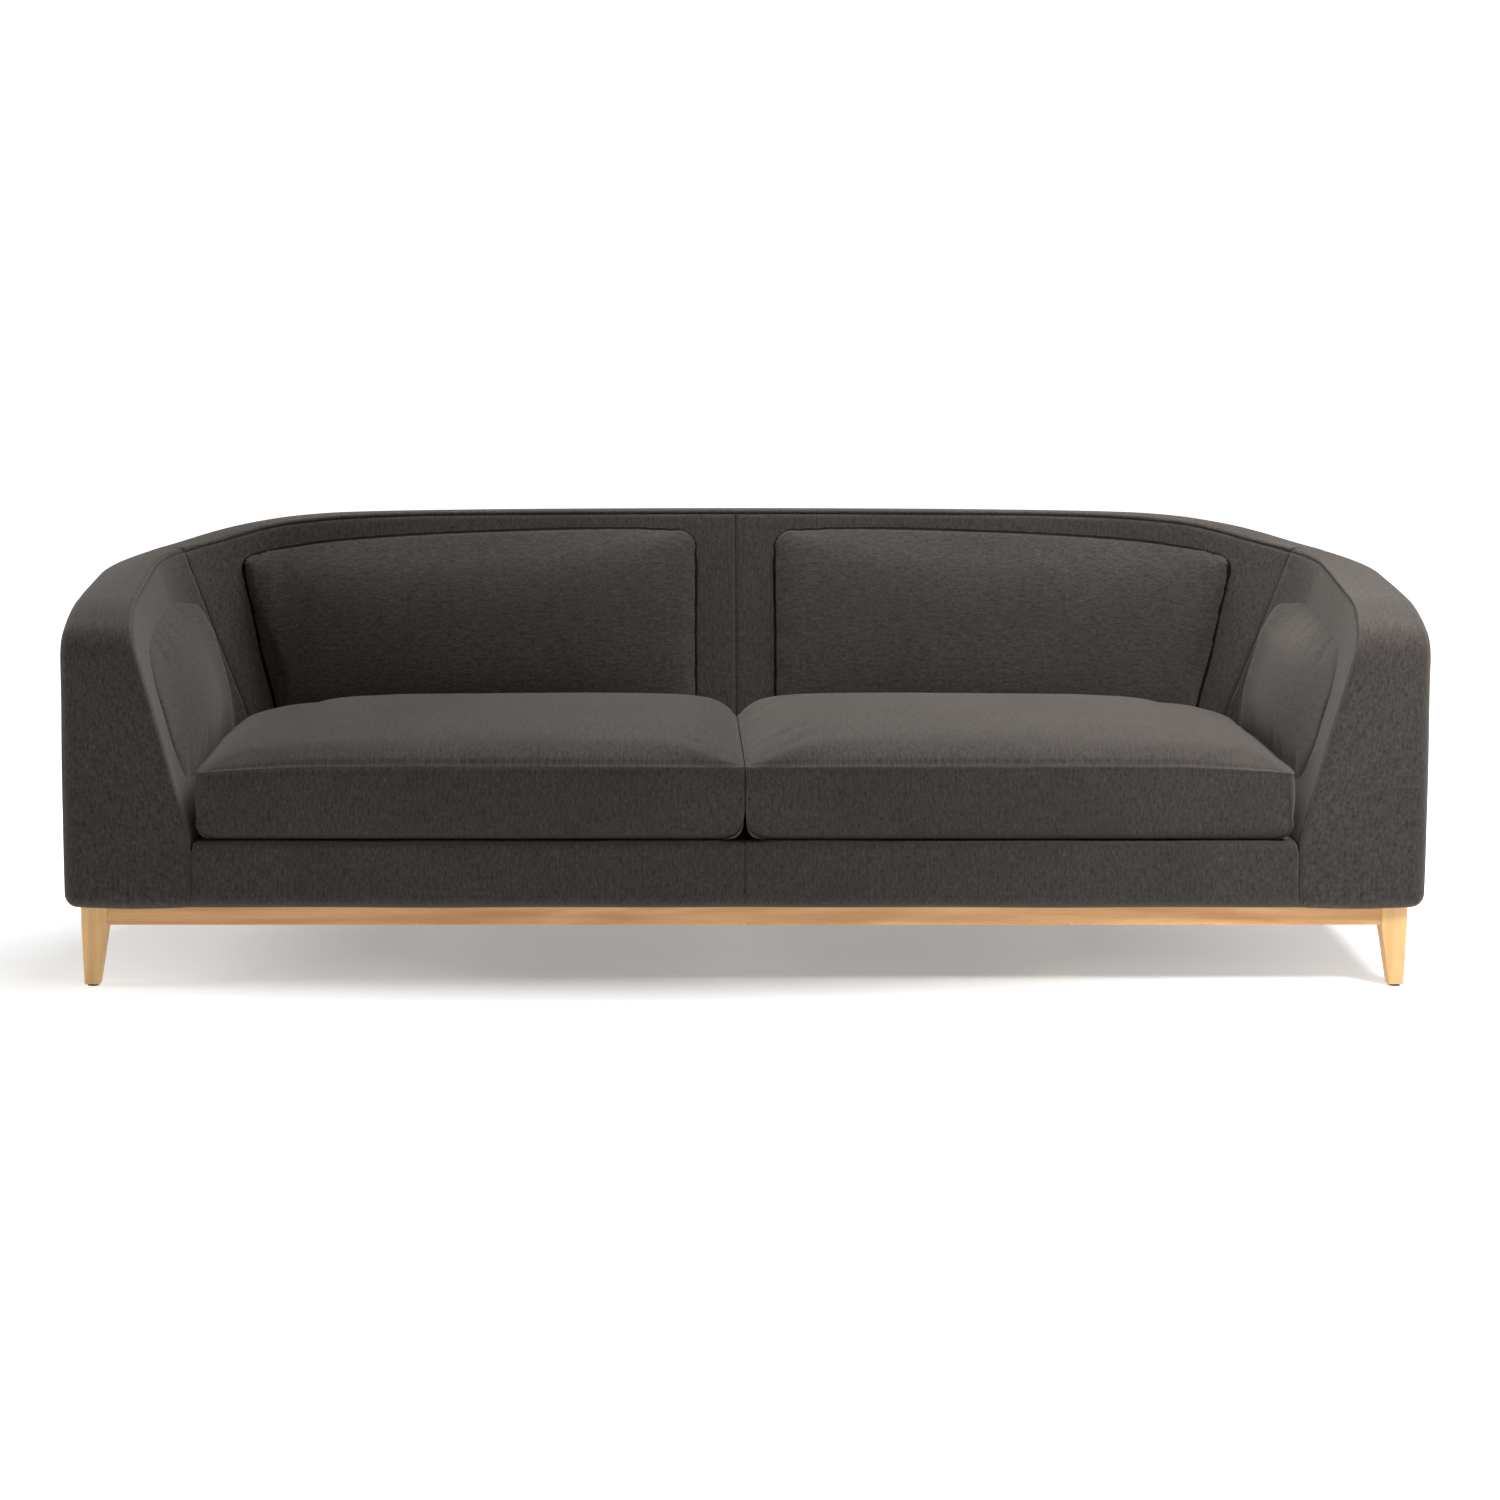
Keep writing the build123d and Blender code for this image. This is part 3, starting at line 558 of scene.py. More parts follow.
side_seam_y = facing_seam_out[-1, 1]
seam_front_y = facing_seam_out[len(front_foot), 1]
arm_y = seam_front_y + edged(side_seam_y - seam_front_y, 0.018)
run, centre, _ = tub(*outer_plan)
round_y = np.maximum(arm_y - centre, 0)
arm_x = run + np.sqrt(outer_plan[3] ** 2 - round_y**2)
arm_out = unit(np.stack([arm_x - run, round_y], axis=1))
seam_line = facing_seam_out[len(front_foot):, 1:]
arm_top = seam_height(arm_y, seam_line, seam_front_y)
grid = wall_columns(arm_x, arm_y, arm_out[:, 0], arm_out[:, 1], arm_top)
edge = from_seam(grid, seam_line, arm_top, arm_y - seam_front_y)
edge = np.minimum(edge, (side_seam_y - arm_y)[:, None] / arm_out[:, :1])
upholster("outside_arm", grid, 0.35 * rolled(edge) + slack(grid, 0.0006))

wall_stations = np.concatenate([[back_stations[0] - 0.011], back_stations, [2.0 + hem / 0.845]])
x, y = tub_point(outer_plan, outer_station(wall_stations), rim_start)
x = np.where(wall_stations > 2, -hem, x)
out = unit(np.stack([np.where(wall_stations > 1, x, x - run),
                     np.where(wall_stations > 1, y + outer_plan[2] - outer_plan[1], y - centre)], axis=1))
top = np.interp(wall_stations, back_stations, back_seam_out[:, 2])
grid = wall_columns(x, y, out[:, 0], out[:, 1], top)
along_wall = walked(np.hypot(np.diff(x), np.diff(y)))
edge = np.minimum(top[:, None] - grid[..., 2], np.minimum(along_wall - along_wall[1], x)[:, None])
upholster("outside_back", grid, 0.5 * rolled(edge) + slack(grid, 0.0006))


# Inside arms and inside back. Foam glued to the frame under the same cloth, pushed down behind the
# seat and sewn to the rim; the seams stand in the two corners and at the middle.

deck_level = 0.243


def side_x(y, z):
    """Half width of the seat well at depth y and height z."""
    half, back, bow, corner = well_plan(z)
    run, centre, _ = tub(half, back, bow, corner)
    round_x = np.sqrt(np.maximum(corner**2 - np.maximum(y - centre, 0) ** 2, 0))
    return np.where(y < centre, half, run + round_x)


corner_top_y, corner_top_z = facing_seam_in[-1, 1:]
corner_low_y, corner_bend = 0.1785, 0.40
lining_front = facing_seam_in[len(front_foot), 1]
lining_rows = 30


def corner_seam(z):
    """Depth of the corner seam, which bends forward as it rises to the rim."""
    rise = np.clip((z - corner_bend) / (corner_top_z - corner_bend), 0, 1.2)
    return corner_low_y + (corner_top_y - corner_low_y) * rise**1.3


arm_y = lining_front + edged(corner_top_y - lining_front, 0.016)
seam_line = facing_seam_in[len(front_foot):, 1:]
arm_top = seam_height(arm_y, seam_line, lining_front)
z = np.stack(panel_heights(arm_top, deck_level, lining_rows), axis=-1)
reach_back = (corner_seam(z) - lining_front) / (corner_top_y - lining_front)
y = lining_front + (arm_y[:, None] - lining_front) * reach_back
grid = np.stack([side_x(y, z), y, z], axis=-1)[:, ::-1]
edge = from_seam(grid, seam_line, arm_top, arm_y - lining_front)
edge = np.minimum(edge, 1.25 * (corner_top_y - arm_y)[:, None])
sewn_in = np.interp(grid[..., 1], (0.0, 0.09), (1.0, 0.4))
dip = rolled(edge) * sewn_in + slack(grid, 0.0005)
upholster("inside_arm", grid, dip, lay=(0.5, 1.0))

seat_stations = np.concatenate([[rim_seam - 0.015], back_stations, [2.0 + hem / 0.82]])
top = np.interp(seat_stations, back_stations, back_seam_in[:, 2])
z = np.stack(panel_heights(top, deck_level, lining_rows), axis=-1)
plan = well_plan(z)
_, centre, turn = tub(*plan)
seam_station = np.arcsin(np.clip((corner_seam(z) - centre) / plan[3], 0, 1)) / turn
at = seat_stations[:, None]
share = np.clip((at - rim_seam) / (1 - rim_seam), -0.05, 1)
station = np.where(at > 1, at, seam_station + (1 - seam_station) * share)
x, y = tub_point(plan, station, rim_start)
x = np.where(at > 2, -hem, x)
grid = np.stack([x, y, z], axis=-1)[:, ::-1]
steps = np.linalg.norm(np.diff(grid, axis=0), axis=2)
along_panel = np.concatenate([np.zeros((1, grid.shape[1])), np.cumsum(steps, axis=0)])
edge = np.minimum(top[:, None] - grid[..., 2], np.minimum(along_panel - along_panel[1], grid[..., 0]))
upholster("inside_back", grid, rolled(edge) + slack(grid, 0.0005))


# Arm facings and rim border. One boxed band of the same cloth over firm foam: up the front of each
# arm, over the nose and round the rim, sewn to the inside and outside panels along both edges.

def band(inner, outer, inward, cover, depth, crown, round_in, round_out):
    """Rows across the band from its inside seam, over two soft edges, to its outside seam."""
    across, out = band_frame(inner, outer)
    wide = np.linalg.norm(outer - inner, axis=1)
    rows, seam_gap = [], []
    for share in (-0.8, 0.0, 0.25, 0.6):
        rows.append(inner + (cover + (round_in - cover) * share)[:, None] * inward)
        seam_gap.append((cover - round_in) * share)
    for angle in np.linspace(0, pi / 2, 8):
        rows.append(inner + round_in * ((1 - np.sin(angle)) * inward + (1 - np.cos(angle)) * across))
        seam_gap.append(cover - round_in * (1 - np.sin(angle)) + round_in * angle * 0.3)
    for share in np.linspace(0, 1, 15)[1:-1]:
        reach = (round_in * (1 - share) + (wide - round_out) * share)[:, None]
        rows.append(inner + reach * across + crown * np.sin(pi * share) ** 0.8 * out)
        seam_gap.append(np.full(len(inner), 0.02))
    for angle in np.linspace(0, pi / 2, 11):
        turned = (1 - np.sin(angle)) * -across + (1 - np.cos(angle)) * -out
        rows.append(outer + round_out[:, None] * turned)
        seam_gap.append(np.maximum(depth - round_out * (1 - np.cos(angle)), 0.0))
    for distance in (0.0, -hem):
        rows.append(outer - (depth - distance)[:, None] * out)
        seam_gap.append(np.full(len(inner), distance))
    return np.stack(rows, axis=1), np.stack(seam_gap, axis=1)


grid, gap = band(facing_inner, facing_outer, facing_inward, facing_cover, facing_depth,
                 crown=0.003, round_in=0.008, round_out=np.full(len(facing_inner), facing_round))
along_facing = along_line(facing_outer)
gap = np.minimum(gap, (along_facing[-1] - along_facing)[:, None])
outer_rows = 13
sewn_in = np.where(np.arange(grid.shape[1]) < grid.shape[1] - outer_rows, 1.0, 0.35)
steps = np.diff(facing_outer, axis=0)
lay_along = np.where(np.abs(steps[:, 2]) > 0.7 * np.linalg.norm(steps, axis=1), 1.0, 0.5)
dip = rolled(gap) * sewn_in + slack(grid, 0.0004)
upholster("arm_facing", grid, dip, warp=-1, lay=(lay_along, 1.0), tucked=2)

grid, gap = band(back_inner, back_outer, back_inward, back_cover, back_depth,
                 crown=0.001, round_in=0.0055, round_out=back_round)
gap = np.minimum(gap, along_line(back_outer)[:, None])
whole = np.concatenate([grid, grid[-2::-1] * (-1, 1, 1)])
dip = rolled(gap) * sewn_in
dip = np.concatenate([dip, dip[-2::-1]])
rim = sew("rim_border_cloth", turned_in(whole, dip, 2), False, cover_cloth, lay=(1.0, 0.5))
pad_behind(rim)
declare_cover(rim, "sofa_body", ["rim_border"])


# Base border. Two strips of the same cloth over the front board, sewn together at the middle and to
# the arm facings at the ends, pulled under the bottom edge and stapled.

base_x = edged(well_half, 0.022)
base_top, base_low, lip_round = 0.2555, 0.1665, 0.012
lip = arc((front_face + lip_round, base_top - lip_round), lip_round, 90, 180, 6)
base_face = np.linspace(lip[-1, 1], base_low, 11)[1:-1]
base_line = np.concatenate([
    [[front_face + 0.05, base_top], [front_face + 0.03, base_top]],
    lip,
    np.column_stack([np.full_like(base_face, front_face), base_face]),
    front_foot[::-1],
    [[front_face + 0.04, body_bottom]],
])
grid = np.concatenate([np.repeat(base_x[:, None, None], len(base_line), axis=1),
                       np.repeat(base_line[None], len(base_x), axis=0)], axis=-1)
sunk = np.clip((grid[..., 2] - 0.200) / 0.055, 0, 1)
end_round = 0.010
into_end = np.clip(end_round - (well_half - grid[..., 0]), 0, end_round)
grid[..., 2] -= sunk * (end_round - np.sqrt(np.maximum(end_round**2 - into_end**2, 0)))
edge = np.minimum(grid[..., 0], well_half - grid[..., 0])
sewn_in = np.clip((grid[..., 2] - 0.142) / 0.030, 0, 1)
upholster("base_border", grid, rolled(edge) * sewn_in + slack(grid, 0.0005))


# Back pads and arm pads. Bags of the same cloth filled with fibre, sewn onto the inside panels all
# round, so that they pinch at the edge and swell in the middle.

def through(x, marks, values):
    """A smooth line through marked points that doesn't overshoot them."""
    marks, values = np.asarray(marks, float), np.asarray(values, float)
    gaps = np.diff(marks)
    rise = np.diff(values) / gaps
    slope = np.zeros_like(values)
    slope[0], slope[-1] = rise[0], rise[-1]
    same_way = rise[:-1] * rise[1:] > 0
    slope[1:-1][same_way] = (2 * rise[:-1] * rise[1:])[same_way] / (rise[:-1] + rise[1:])[same_way]
    at = np.clip(np.searchsorted(marks, x, side="right") - 1, 0, len(gaps) - 1)
    share = np.clip((x - marks[at]) / gaps[at], 0, 1)
    lift = share**2 * (3 - 2 * share)
    bend = share * (1 - share) * ((1 - share) * slope[at] - share * slope[at + 1])
    return values[at] * (1 - lift) + values[at + 1] * lift + gaps[at] * bend


# Painted shade: a near-black copy of the cover cloth, without sheen, laid on the faces along the back pads'
# sewn edge so that the crease round each pad is dark in its colour as well as by its shape.
painted_seam_shade = finish("painted_seam_shade", cloth, ((0.0105, 0.0088, 0.0077), (0.0042, 0.0035, 0.0031)), {},
                    bump=0.5, depth=0.0010, Specular_IOR_Level=0.05)


def strip_faces(first, second):
    return np.stack([first, second, np.roll(second, -1), np.roll(first, -1)], axis=-1)


def blown(points, faces, held, pressure, cap):
    """Where a bag's points end up when it is blown up, held at its seams, with no move beyond cap."""
    mesh = bpy.data.meshes.new("trial")
    mesh.from_pydata(points.tolist(), [], faces.tolist())
    trial = put_in("trial", mesh)
    trial.vertex_groups.new(name="held").add([int(i) for i in held], 1.0, "REPLACE")
    blow = trial.modifiers.new("blow", "CLOTH")
    settings = blow.settings
    settings.quality = 6
    settings.mass = 0.3
    settings.tension_stiffness = settings.compression_stiffness = 20.0
    settings.shear_stiffness = 8.0
    settings.bending_stiffness = 0.4
    settings.use_pressure = True
    settings.uniform_pressure_force = pressure
    settings.shrink_min = -0.006
    settings.vertex_group_mass = "held"
    settings.effector_weights.gravity = 0.0
    blow.collision_settings.use_collision = False
    moments = 20
    blow.point_cache.frame_end = moments
    for moment in range(1, moments + 1):
        bpy.context.scene.frame_set(moment)
    settled = trial.evaluated_get(bpy.context.evaluated_depsgraph_get()).to_mesh()
    ended = np.empty(len(points) * 3)
    settled.vertices.foreach_get("co", ended)
    bpy.data.objects.remove(trial)
    bpy.data.meshes.remove(mesh)
    bpy.context.scene.frame_set(1)
    move = ended.reshape(-1, 3) - points
    far = np.linalg.norm(move, axis=1, keepdims=True)
    return points + move * np.minimum(1, cap * np.tanh(far / cap) / np.maximum(far, 1e-9))


def soft_pair(name, replaced, points, faces, flat, ridden, painted_shade_faces=None):
    """The left and right bag of a pair. Where seam faces are given, they are painted dark: painted shade for
    the crease along the sewn edge.
    """
    for side in ("left", "right"):
        piece = make_piece(f"{name}_{side}", points, faces, flat, side == "left", cover_cloth)
        if painted_shade_faces is not None:
            piece.data.materials.append(painted_seam_shade)
            piece.data.polygons.foreach_set("material_index", painted_shade_faces.astype(np.int32))
        smooth = piece.modifiers.new("smooth", "SUBSURF")
        smooth.levels = smooth.render_levels = 1
        declare_cover(piece, ridden.format(side), [node.format(side) for node in replaced])


def plan_depth(plan, x):
    """Depth of the back of an outline at half width x."""
    half, back, bow, corner = plan
    run, centre, turn = tub(*plan)
    round_y = centre + np.sqrt(np.maximum(corner**2 - (x - run) ** 2, 0))
    return np.where(x < run + corner * np.cos(turn), back - bow + np.sqrt(bow**2 - x**2), round_y)


def rounding(distance, radius):
    """Drop of a rounded corner, at a distance from the end."""
    inside = np.clip(1 - distance / radius, 0, 1)
    return radius * (1 - np.sqrt(1 - inside**2))


def swelling(distance, along, up, height, edge_high, ends):
    """Rise of a stuffed bag from its sewn edge: a tight roll, then a slow crown."""
    roll = np.clip(distance / 0.016, 0, 1)
    crown = (1 - np.abs(2 * along - 1) ** ends) * (1 - np.abs(2 * up - 1) ** 2.4)
    return edge_high * np.sqrt(1 - (1 - roll) ** 2) + (height - edge_high) * crown


def pad(node, at, low, high, on_panel, height, edge_high, ends, fuller, pressure, cap, lay, seam_line):
    """A pair of pads between two edges, on a panel given by on_panel(place, z)."""
    usual_height = 0.39
    share = edged(usual_height, 0.013, tucked=False) / usual_height
    z = low[:, None] + (high - low)[:, None] * share
    place_at = np.repeat(at[:, None], len(share), axis=1)
    low_edge, high_edge = np.column_stack([at, low]), np.column_stack([at, high])
    outline = np.concatenate([low_edge, high_edge[::-1], low_edge[:1]])
    gap = to_line(np.stack([place_at, z], axis=-1), outline)
    ground = on_panel(place_at, z)
    out = surface_normals(ground)
    along = ((at - at.min()) / (at.max() - at.min()))[:, None] ** fuller
    front = ground + out * (swelling(gap, along, share, height, edge_high, ends) - 0.002)[..., None]
    behind = ground - out * 0.012
    rows, columns = front.shape[:2]
    faces, loop = grid_faces(rows, columns)
    count = rows * columns
    points = np.concatenate([front.reshape(-1, 3), behind.reshape(-1, 3)])
    # The faces closer to the sewn edge than seam_line, and the strip round the bag's edge, get the painted
    # seam shade. The arm pads have none.
    in_painted_shade = gap.ravel()[faces].max(axis=1) < seam_line
    painted_shade_faces = np.concatenate([in_painted_shade, np.zeros(len(faces), bool), np.full(len(loop), seam_line > 0)])
    faces = np.concatenate([faces, faces[:, ::-1] + count, strip_faces(loop, loop + count)])
    lie_flat = np.tile(np.stack([z, place_at * lay], axis=-1).reshape(-1, 2), (2, 1))
    points = blown(points, faces, np.concatenate([loop, np.arange(count, 2 * count)]), pressure, cap)
    soft_pair(node + "_bag", [node + "_{}"], points, faces, lie_flat[faces], "sofa_body", painted_shade_faces)


pad_in, pad_out = 0.070, 0.926
pad_x = pad_in + edged(pad_out - pad_in, 0.011, tucked=False)
marks = (0.07, 0.25, 0.50, 0.74, 0.85, 0.93)
pad_high = through(pad_x, marks, (0.7165, 0.7215, 0.7170, 0.7050, 0.6910, 0.6720))
pad_high -= rounding(pad_x - pad_in, 0.042) + rounding(pad_out - pad_x, 0.018)
pad_low = 0.330 + rounding(pad_x - pad_in, 0.030) + 0.31 * np.maximum(pad_x - 0.855, 0) / 0.071
pad("back_pad", pad_x[::-1], pad_low[::-1], pad_high[::-1],
    lambda x, z: np.stack([x, plan_depth(well_plan(z), x), z], axis=-1), height=0.042, edge_high=0.012,
    ends=5.0, fuller=1.0, pressure=4.0, cap=0.007, lay=1.0, seam_line=0.0046)

pad_y = -0.340 + edged(0.505, 0.011, tucked=False)
marks = (-0.340, -0.326, -0.290, -0.190, -0.040, 0.080, 0.140, 0.165)
pad_high = through(pad_y, marks, (0.500, 0.545, 0.575, 0.592, 0.603, 0.607, 0.600, 0.570))
pad_low = through(pad_y, marks, (0.420, 0.372, 0.340, 0.330, 0.330, 0.330, 0.345, 0.400))
pad("arm_pad", pad_y, pad_low, pad_high,
    lambda y, z: np.stack([side_x(y, z), y, z], axis=-1), height=0.044, edge_high=0.004,
    ends=2.6, fuller=1.5, pressure=1.5, cap=0.003, lay=0.5, seam_line=0.0)


# Seat cushions. Loose boxed covers of the same cloth over a foam core wrapped in fibre: a crowned top
# panel, a straight border and a sewn edge between them. They rest on the deck and lift out.

seat_front, seat_deep, seat_wide = -0.437, 0.623, 0.930
cushion_seam, cushion_foot, foot_r, border_deep = 0.384, 0.257, 0.026, 0.100
marks = (-0.437, -0.424, -0.380, -0.240, -0.040, 0.080, 0.140, 0.172, 0.186)
seat_y = seat_front + edged(seat_deep, 0.015, tucked=False)
seat_out = through(seat_y, marks, (0.932, 0.9375, 0.939, 0.936, 0.935, 0.930, 0.908, 0.874, 0.846))
seat_in = through(seat_y, marks, (0.0012, 0.0010, 0.0010, 0.0010, 0.0010, 0.0010, 0.0016, 0.0040, 0.010))
crown = through(seat_y, marks, (0.000, 0.017, 0.033, 0.046, 0.050, 0.048, 0.039, 0.022, 0.000))
share = edged(seat_wide, 0.017, tucked=False) / seat_wide
across = share * seat_wide
x = seat_in[:, None] + (seat_out - seat_in)[:, None] * share
y = np.repeat(seat_y[:, None], len(share), axis=1)
plan = np.stack([x, y], axis=-1)
gap = to_line(plan, np.concatenate([plan[0], plan[:, -1], plan[-1, ::-1], plan[::-1, 0]]))
marks = (0, 0.014, 0.048, 0.130, 0.300, seat_wide - 0.300, seat_wide - 0.130, seat_wide - 0.034, seat_wide)
rise = through(across, marks, (0, 0.50, 0.82, 0.96, 1.00, 0.94, 0.70, 0.33, 0))
seam_level = cushion_seam - 0.009 * np.clip((across - 0.68) / 0.25, 0, 1) ** 2
top_sheet = np.stack([x, y, seam_level + crown[:, None] * rise], axis=-1)
rows, columns = x.shape
top_faces, loop = grid_faces(rows, columns)
edge_points = top_sheet.reshape(-1, 3)[loop]
tangent = unit(np.roll(edge_points, -1, axis=0) - np.roll(edge_points, 1, axis=0))
outward = unit(np.stack([tangent[:, 1], -tangent[:, 0], np.zeros(len(loop))], axis=1))

drops = np.concatenate([seam_steps[1:], np.linspace(0.010, 0.088, 7)[1:],
                        border_deep - np.array([0.007, 0.0045, 0.002, 0.0])])
levels, offsets = [], []
for drop in drops:
    part = drop / border_deep
    levels.append(edge_points[:, 2] - (edge_points[:, 2] - cushion_foot - foot_r) * part)
    offsets.append(0.0045 * np.sin(pi * part) - 0.004 * part**3)
for angle in np.linspace(0, pi / 2, 6)[1:-1]:
    levels.append(np.full(len(loop), cushion_foot + foot_r * (1 - np.sin(angle))))
    offsets.append(-0.004 - foot_r * (1 - np.cos(angle)))
rear = np.clip(outward[:, 1], 0, 1)
strip = []
for level, offset in zip(levels, offsets):
    shift = np.where(offset > 0, offset * (1 - rear), offset * (1 - 0.8 * rear * (level > 0.29)))
    row = edge_points + outward * shift[:, None]
    row[:, 2] = level
    strip.append(row)
inset = 0.004 + foot_r
middle = np.array([(x.min() + x.max()) / 2, -0.1255])
smaller = 1 - 2 * inset / np.array([seat_wide, seat_deep])
bottom_plan = middle + (plan - middle) * smaller
bottom_sheet = np.concatenate([bottom_plan, np.full((rows, columns, 1), cushion_foot)], axis=-1)
count, ring = rows * columns, len(loop)
points = np.concatenate([top_sheet.reshape(-1, 3), *strip, bottom_sheet.reshape(-1, 3)])
bottom_start = count + ring * len(strip)
rings = [loop] + [count + ring * i + np.arange(ring) for i in range(len(strip))] + [loop + bottom_start]
faces = np.concatenate([top_faces, top_faces[:, ::-1] + bottom_start,
                        *[strip_faces(first, second) for first, second in zip(rings[:-1], rings[1:])]])

closed = np.concatenate([edge_points, edge_points[:1]])[:, :2]
border = along_line(closed)
flat_sheet = np.stack([x, np.interp(y, (-0.437, -0.37, 0.19), (-0.29, -0.23, 0.0))], axis=-1).reshape(-1, 2)
flat_parts = [flat_sheet[top_faces], flat_sheet[top_faces[:, ::-1]]]
heights = [points[ring_points, 2].mean() for ring_points in rings]
for first, second in zip(heights[:-1], heights[1:]):
    corners = ((border[:-1], first), (border[:-1], second), (border[1:], second), (border[1:], first))
    flat_parts.append(np.stack([np.stack([at, np.full(ring, level)], 1) for at, level in corners], axis=1))
flat = np.concatenate(flat_parts)

low_part = np.flatnonzero(points[:, 2] < 0.285)
rear_part = np.flatnonzero((points[:, 1] > 0.150) & (points[:, 2] < 0.383))
inner_part = np.flatnonzero((points[:, 0] < 0.012) & (points[:, 2] < 0.400))
held = np.unique(np.concatenate([low_part, rear_part, inner_part]))
points = blown(points, faces, held, pressure=4.0, cap=0.007)
seam_gap = np.full(len(points), 1.0)
seam_gap[:count] = gap.ravel()
full_drop = cushion_seam - cushion_foot - foot_r
for drop, ring_points in zip(drops, rings[1:]):
    seam_gap[ring_points] = drop * full_drop / border_deep
inside_out = np.zeros_like(points)
facing_of = np.cross(points[faces[:, 1]] - points[faces[:, 0]], points[faces[:, 2]] - points[faces[:, 1]])
for corner_of in range(4):
    np.add.at(inside_out, faces[:, corner_of], facing_of)
welt = 0.0018 * np.exp(-((seam_gap / 0.0024) ** 2)) - 0.0010 * np.exp(-(((seam_gap - 0.0062) / 0.0026) ** 2))
points = points + unit(inside_out) * welt[:, None]
low_corner = np.clip((cushion_foot + 0.030 - points[:, 2]) / 0.030, 0, 1)
squeeze = 0.024 * (1 - np.sqrt(1 - low_corner**2))
inner_end = np.clip(1 - points[:, 0] / 0.07, 0, 1)
outer_end = np.clip(1 - (0.937 - points[:, 0]) / 0.07, 0, 1)
points[:, 0] += squeeze * (inner_end - outer_end)
points[:, 0] = np.maximum(points[:, 0], 0.0008)
soft_pair("seat_cushion_bag", ["cushion_cover_{}", "cushion_core_{}"], points, faces, flat,
          "seat_cushion_{}")


# Cushion zips. A coil zip on woven tape, sewn into the border at the back of each cushion cover, with
# a metal slider that runs along it.

tape_cloth = speckled("zip_tape", (0.050, 0.047, 0.045), (0.018, 0.017, 0.016), scale=900.0, gloss=0.75,
                      bump=0.5, depth=0.0006)
zip_start, zip_end, zip_level, zip_back = 0.110, 0.750, 0.300, 0.1868


def block(low, high):
    """Corners of a straight block and its faces."""
    faces = ((0, 1, 3, 2), (4, 6, 7, 5), (0, 4, 5, 1), (2, 3, 7, 6), (0, 2, 6, 4), (1, 5, 7, 3))
    return np.array(list(product(*zip(low, high)))), np.array(faces)


blocks = []
for low, high in ((-0.0044, -0.0004), (0.0004, 0.0044)):
    blocks.append(block((zip_start, zip_back - 0.0022, zip_level + low),
                        (zip_end, zip_back, zip_level + high)))
tooth = 0.0040
tooth_back, tooth_front = zip_back - 0.0006, zip_back + 0.0008
for step in range(int((zip_end - zip_start - 0.004) / tooth)):
    left = zip_start + 0.002 + step * tooth
    for start, end, low, high in ((0.0, 0.0018, -0.0022, 0.0006), (0.0020, 0.0038, -0.0006, 0.0022)):
        blocks.append(block((left + start, tooth_back, zip_level + low),
                            (left + end, tooth_front, zip_level + high)))
points = np.concatenate([corners for corners, _ in blocks])
faces = np.concatenate([sides_of + 8 * i for i, (_, sides_of) in enumerate(blocks)])
for side in ("left", "right"):
    flat = points[faces][..., [0, 2]]
    zip_piece = make_piece(f"zip_coil_{side}", points, faces, flat, side == "left", tape_cloth)
    zip_piece.data.shade_flat()
    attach(zip_piece, f"seat_cushion_{side}")
    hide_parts(f"cushion_zip_{side}")

nickel = speckled("zip_slider_nickel", (0.58, 0.56, 0.53), (0.40, 0.39, 0.37), scale=600.0, gloss=0.24,
                  bump=0.1, depth=0.0002, Metallic=1.0)
dress(sides("zip_slider"), nickel)


# Seat deck. A thin padded panel of plain dark lining cloth over the springs, under the loose cushions,
# stapled to the seat rails.

lining = finish("deck_lining", cloth, ((0.040, 0.039, 0.038), (0.022, 0.021, 0.021)), {},
                bump=0.4, depth=0.0010)
deck_x = np.linspace(-0.936, 0.936, 79)
deck_front = -0.418
deck_back = plan_depth(well_plan(np.full_like(deck_x, seat_level)), np.abs(deck_x)) - 0.004
share = np.linspace(0, 1, 31)
y = deck_front + (deck_back - deck_front)[:, None] * share
x = np.repeat(deck_x[:, None], len(share), axis=1)
sag = 0.003 * np.cos(pi * x / 1.87) * np.sin(pi * share)
over = np.stack([x, y, 0.2555 - sag], axis=-1)[:, ::-1]
under = over - (0, 0, 0.011)
rows, columns = x.shape
faces, loop = grid_faces(rows, columns)
points = np.concatenate([over.reshape(-1, 3), under.reshape(-1, 3)])
faces = np.concatenate([faces, faces[:, ::-1] + rows * columns, strip_faces(loop, loop + rows * columns)])
deck = make_piece("deck_panel", points, faces, points[faces][..., :2], False, lining)
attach(deck, "sofa_body")
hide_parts("seat_deck")


# Dust cover. Black spun cloth stapled flat under the frame, so that nothing falls out and no dust
# gets in; its rear corners follow the tub's outline.

spun = speckled("spun_dust_cloth", (0.022, 0.022, 0.022), (0.010, 0.010, 0.010), scale=480.0, gloss=0.8,
                bump=0.5, depth=0.0005)
dust_inset = 0.034
dust_plan = tuple(size - dust_inset for size in outer_plan)
dust_x = np.linspace(-dust_plan[0], dust_plan[0], 91)
dust_back = plan_depth(dust_plan, np.abs(dust_x))
dust_front = front_face + dust_inset
y = dust_front + (dust_back - dust_front)[:, None] * np.linspace(0, 1, 31)
x = np.repeat(dust_x[:, None], 31, axis=1)
grid = np.stack([x, y, 0.1388 + 0.0006 * np.sin(19 * x) * np.sin(23 * y)], axis=-1)
dust = sew("dust_cloth", grid, False, spun)
thin = dust.modifiers.new("cloth", "SOLIDIFY")
thin.thickness = 0.0006
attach(dust, "sofa_body")
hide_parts("dust_cover")
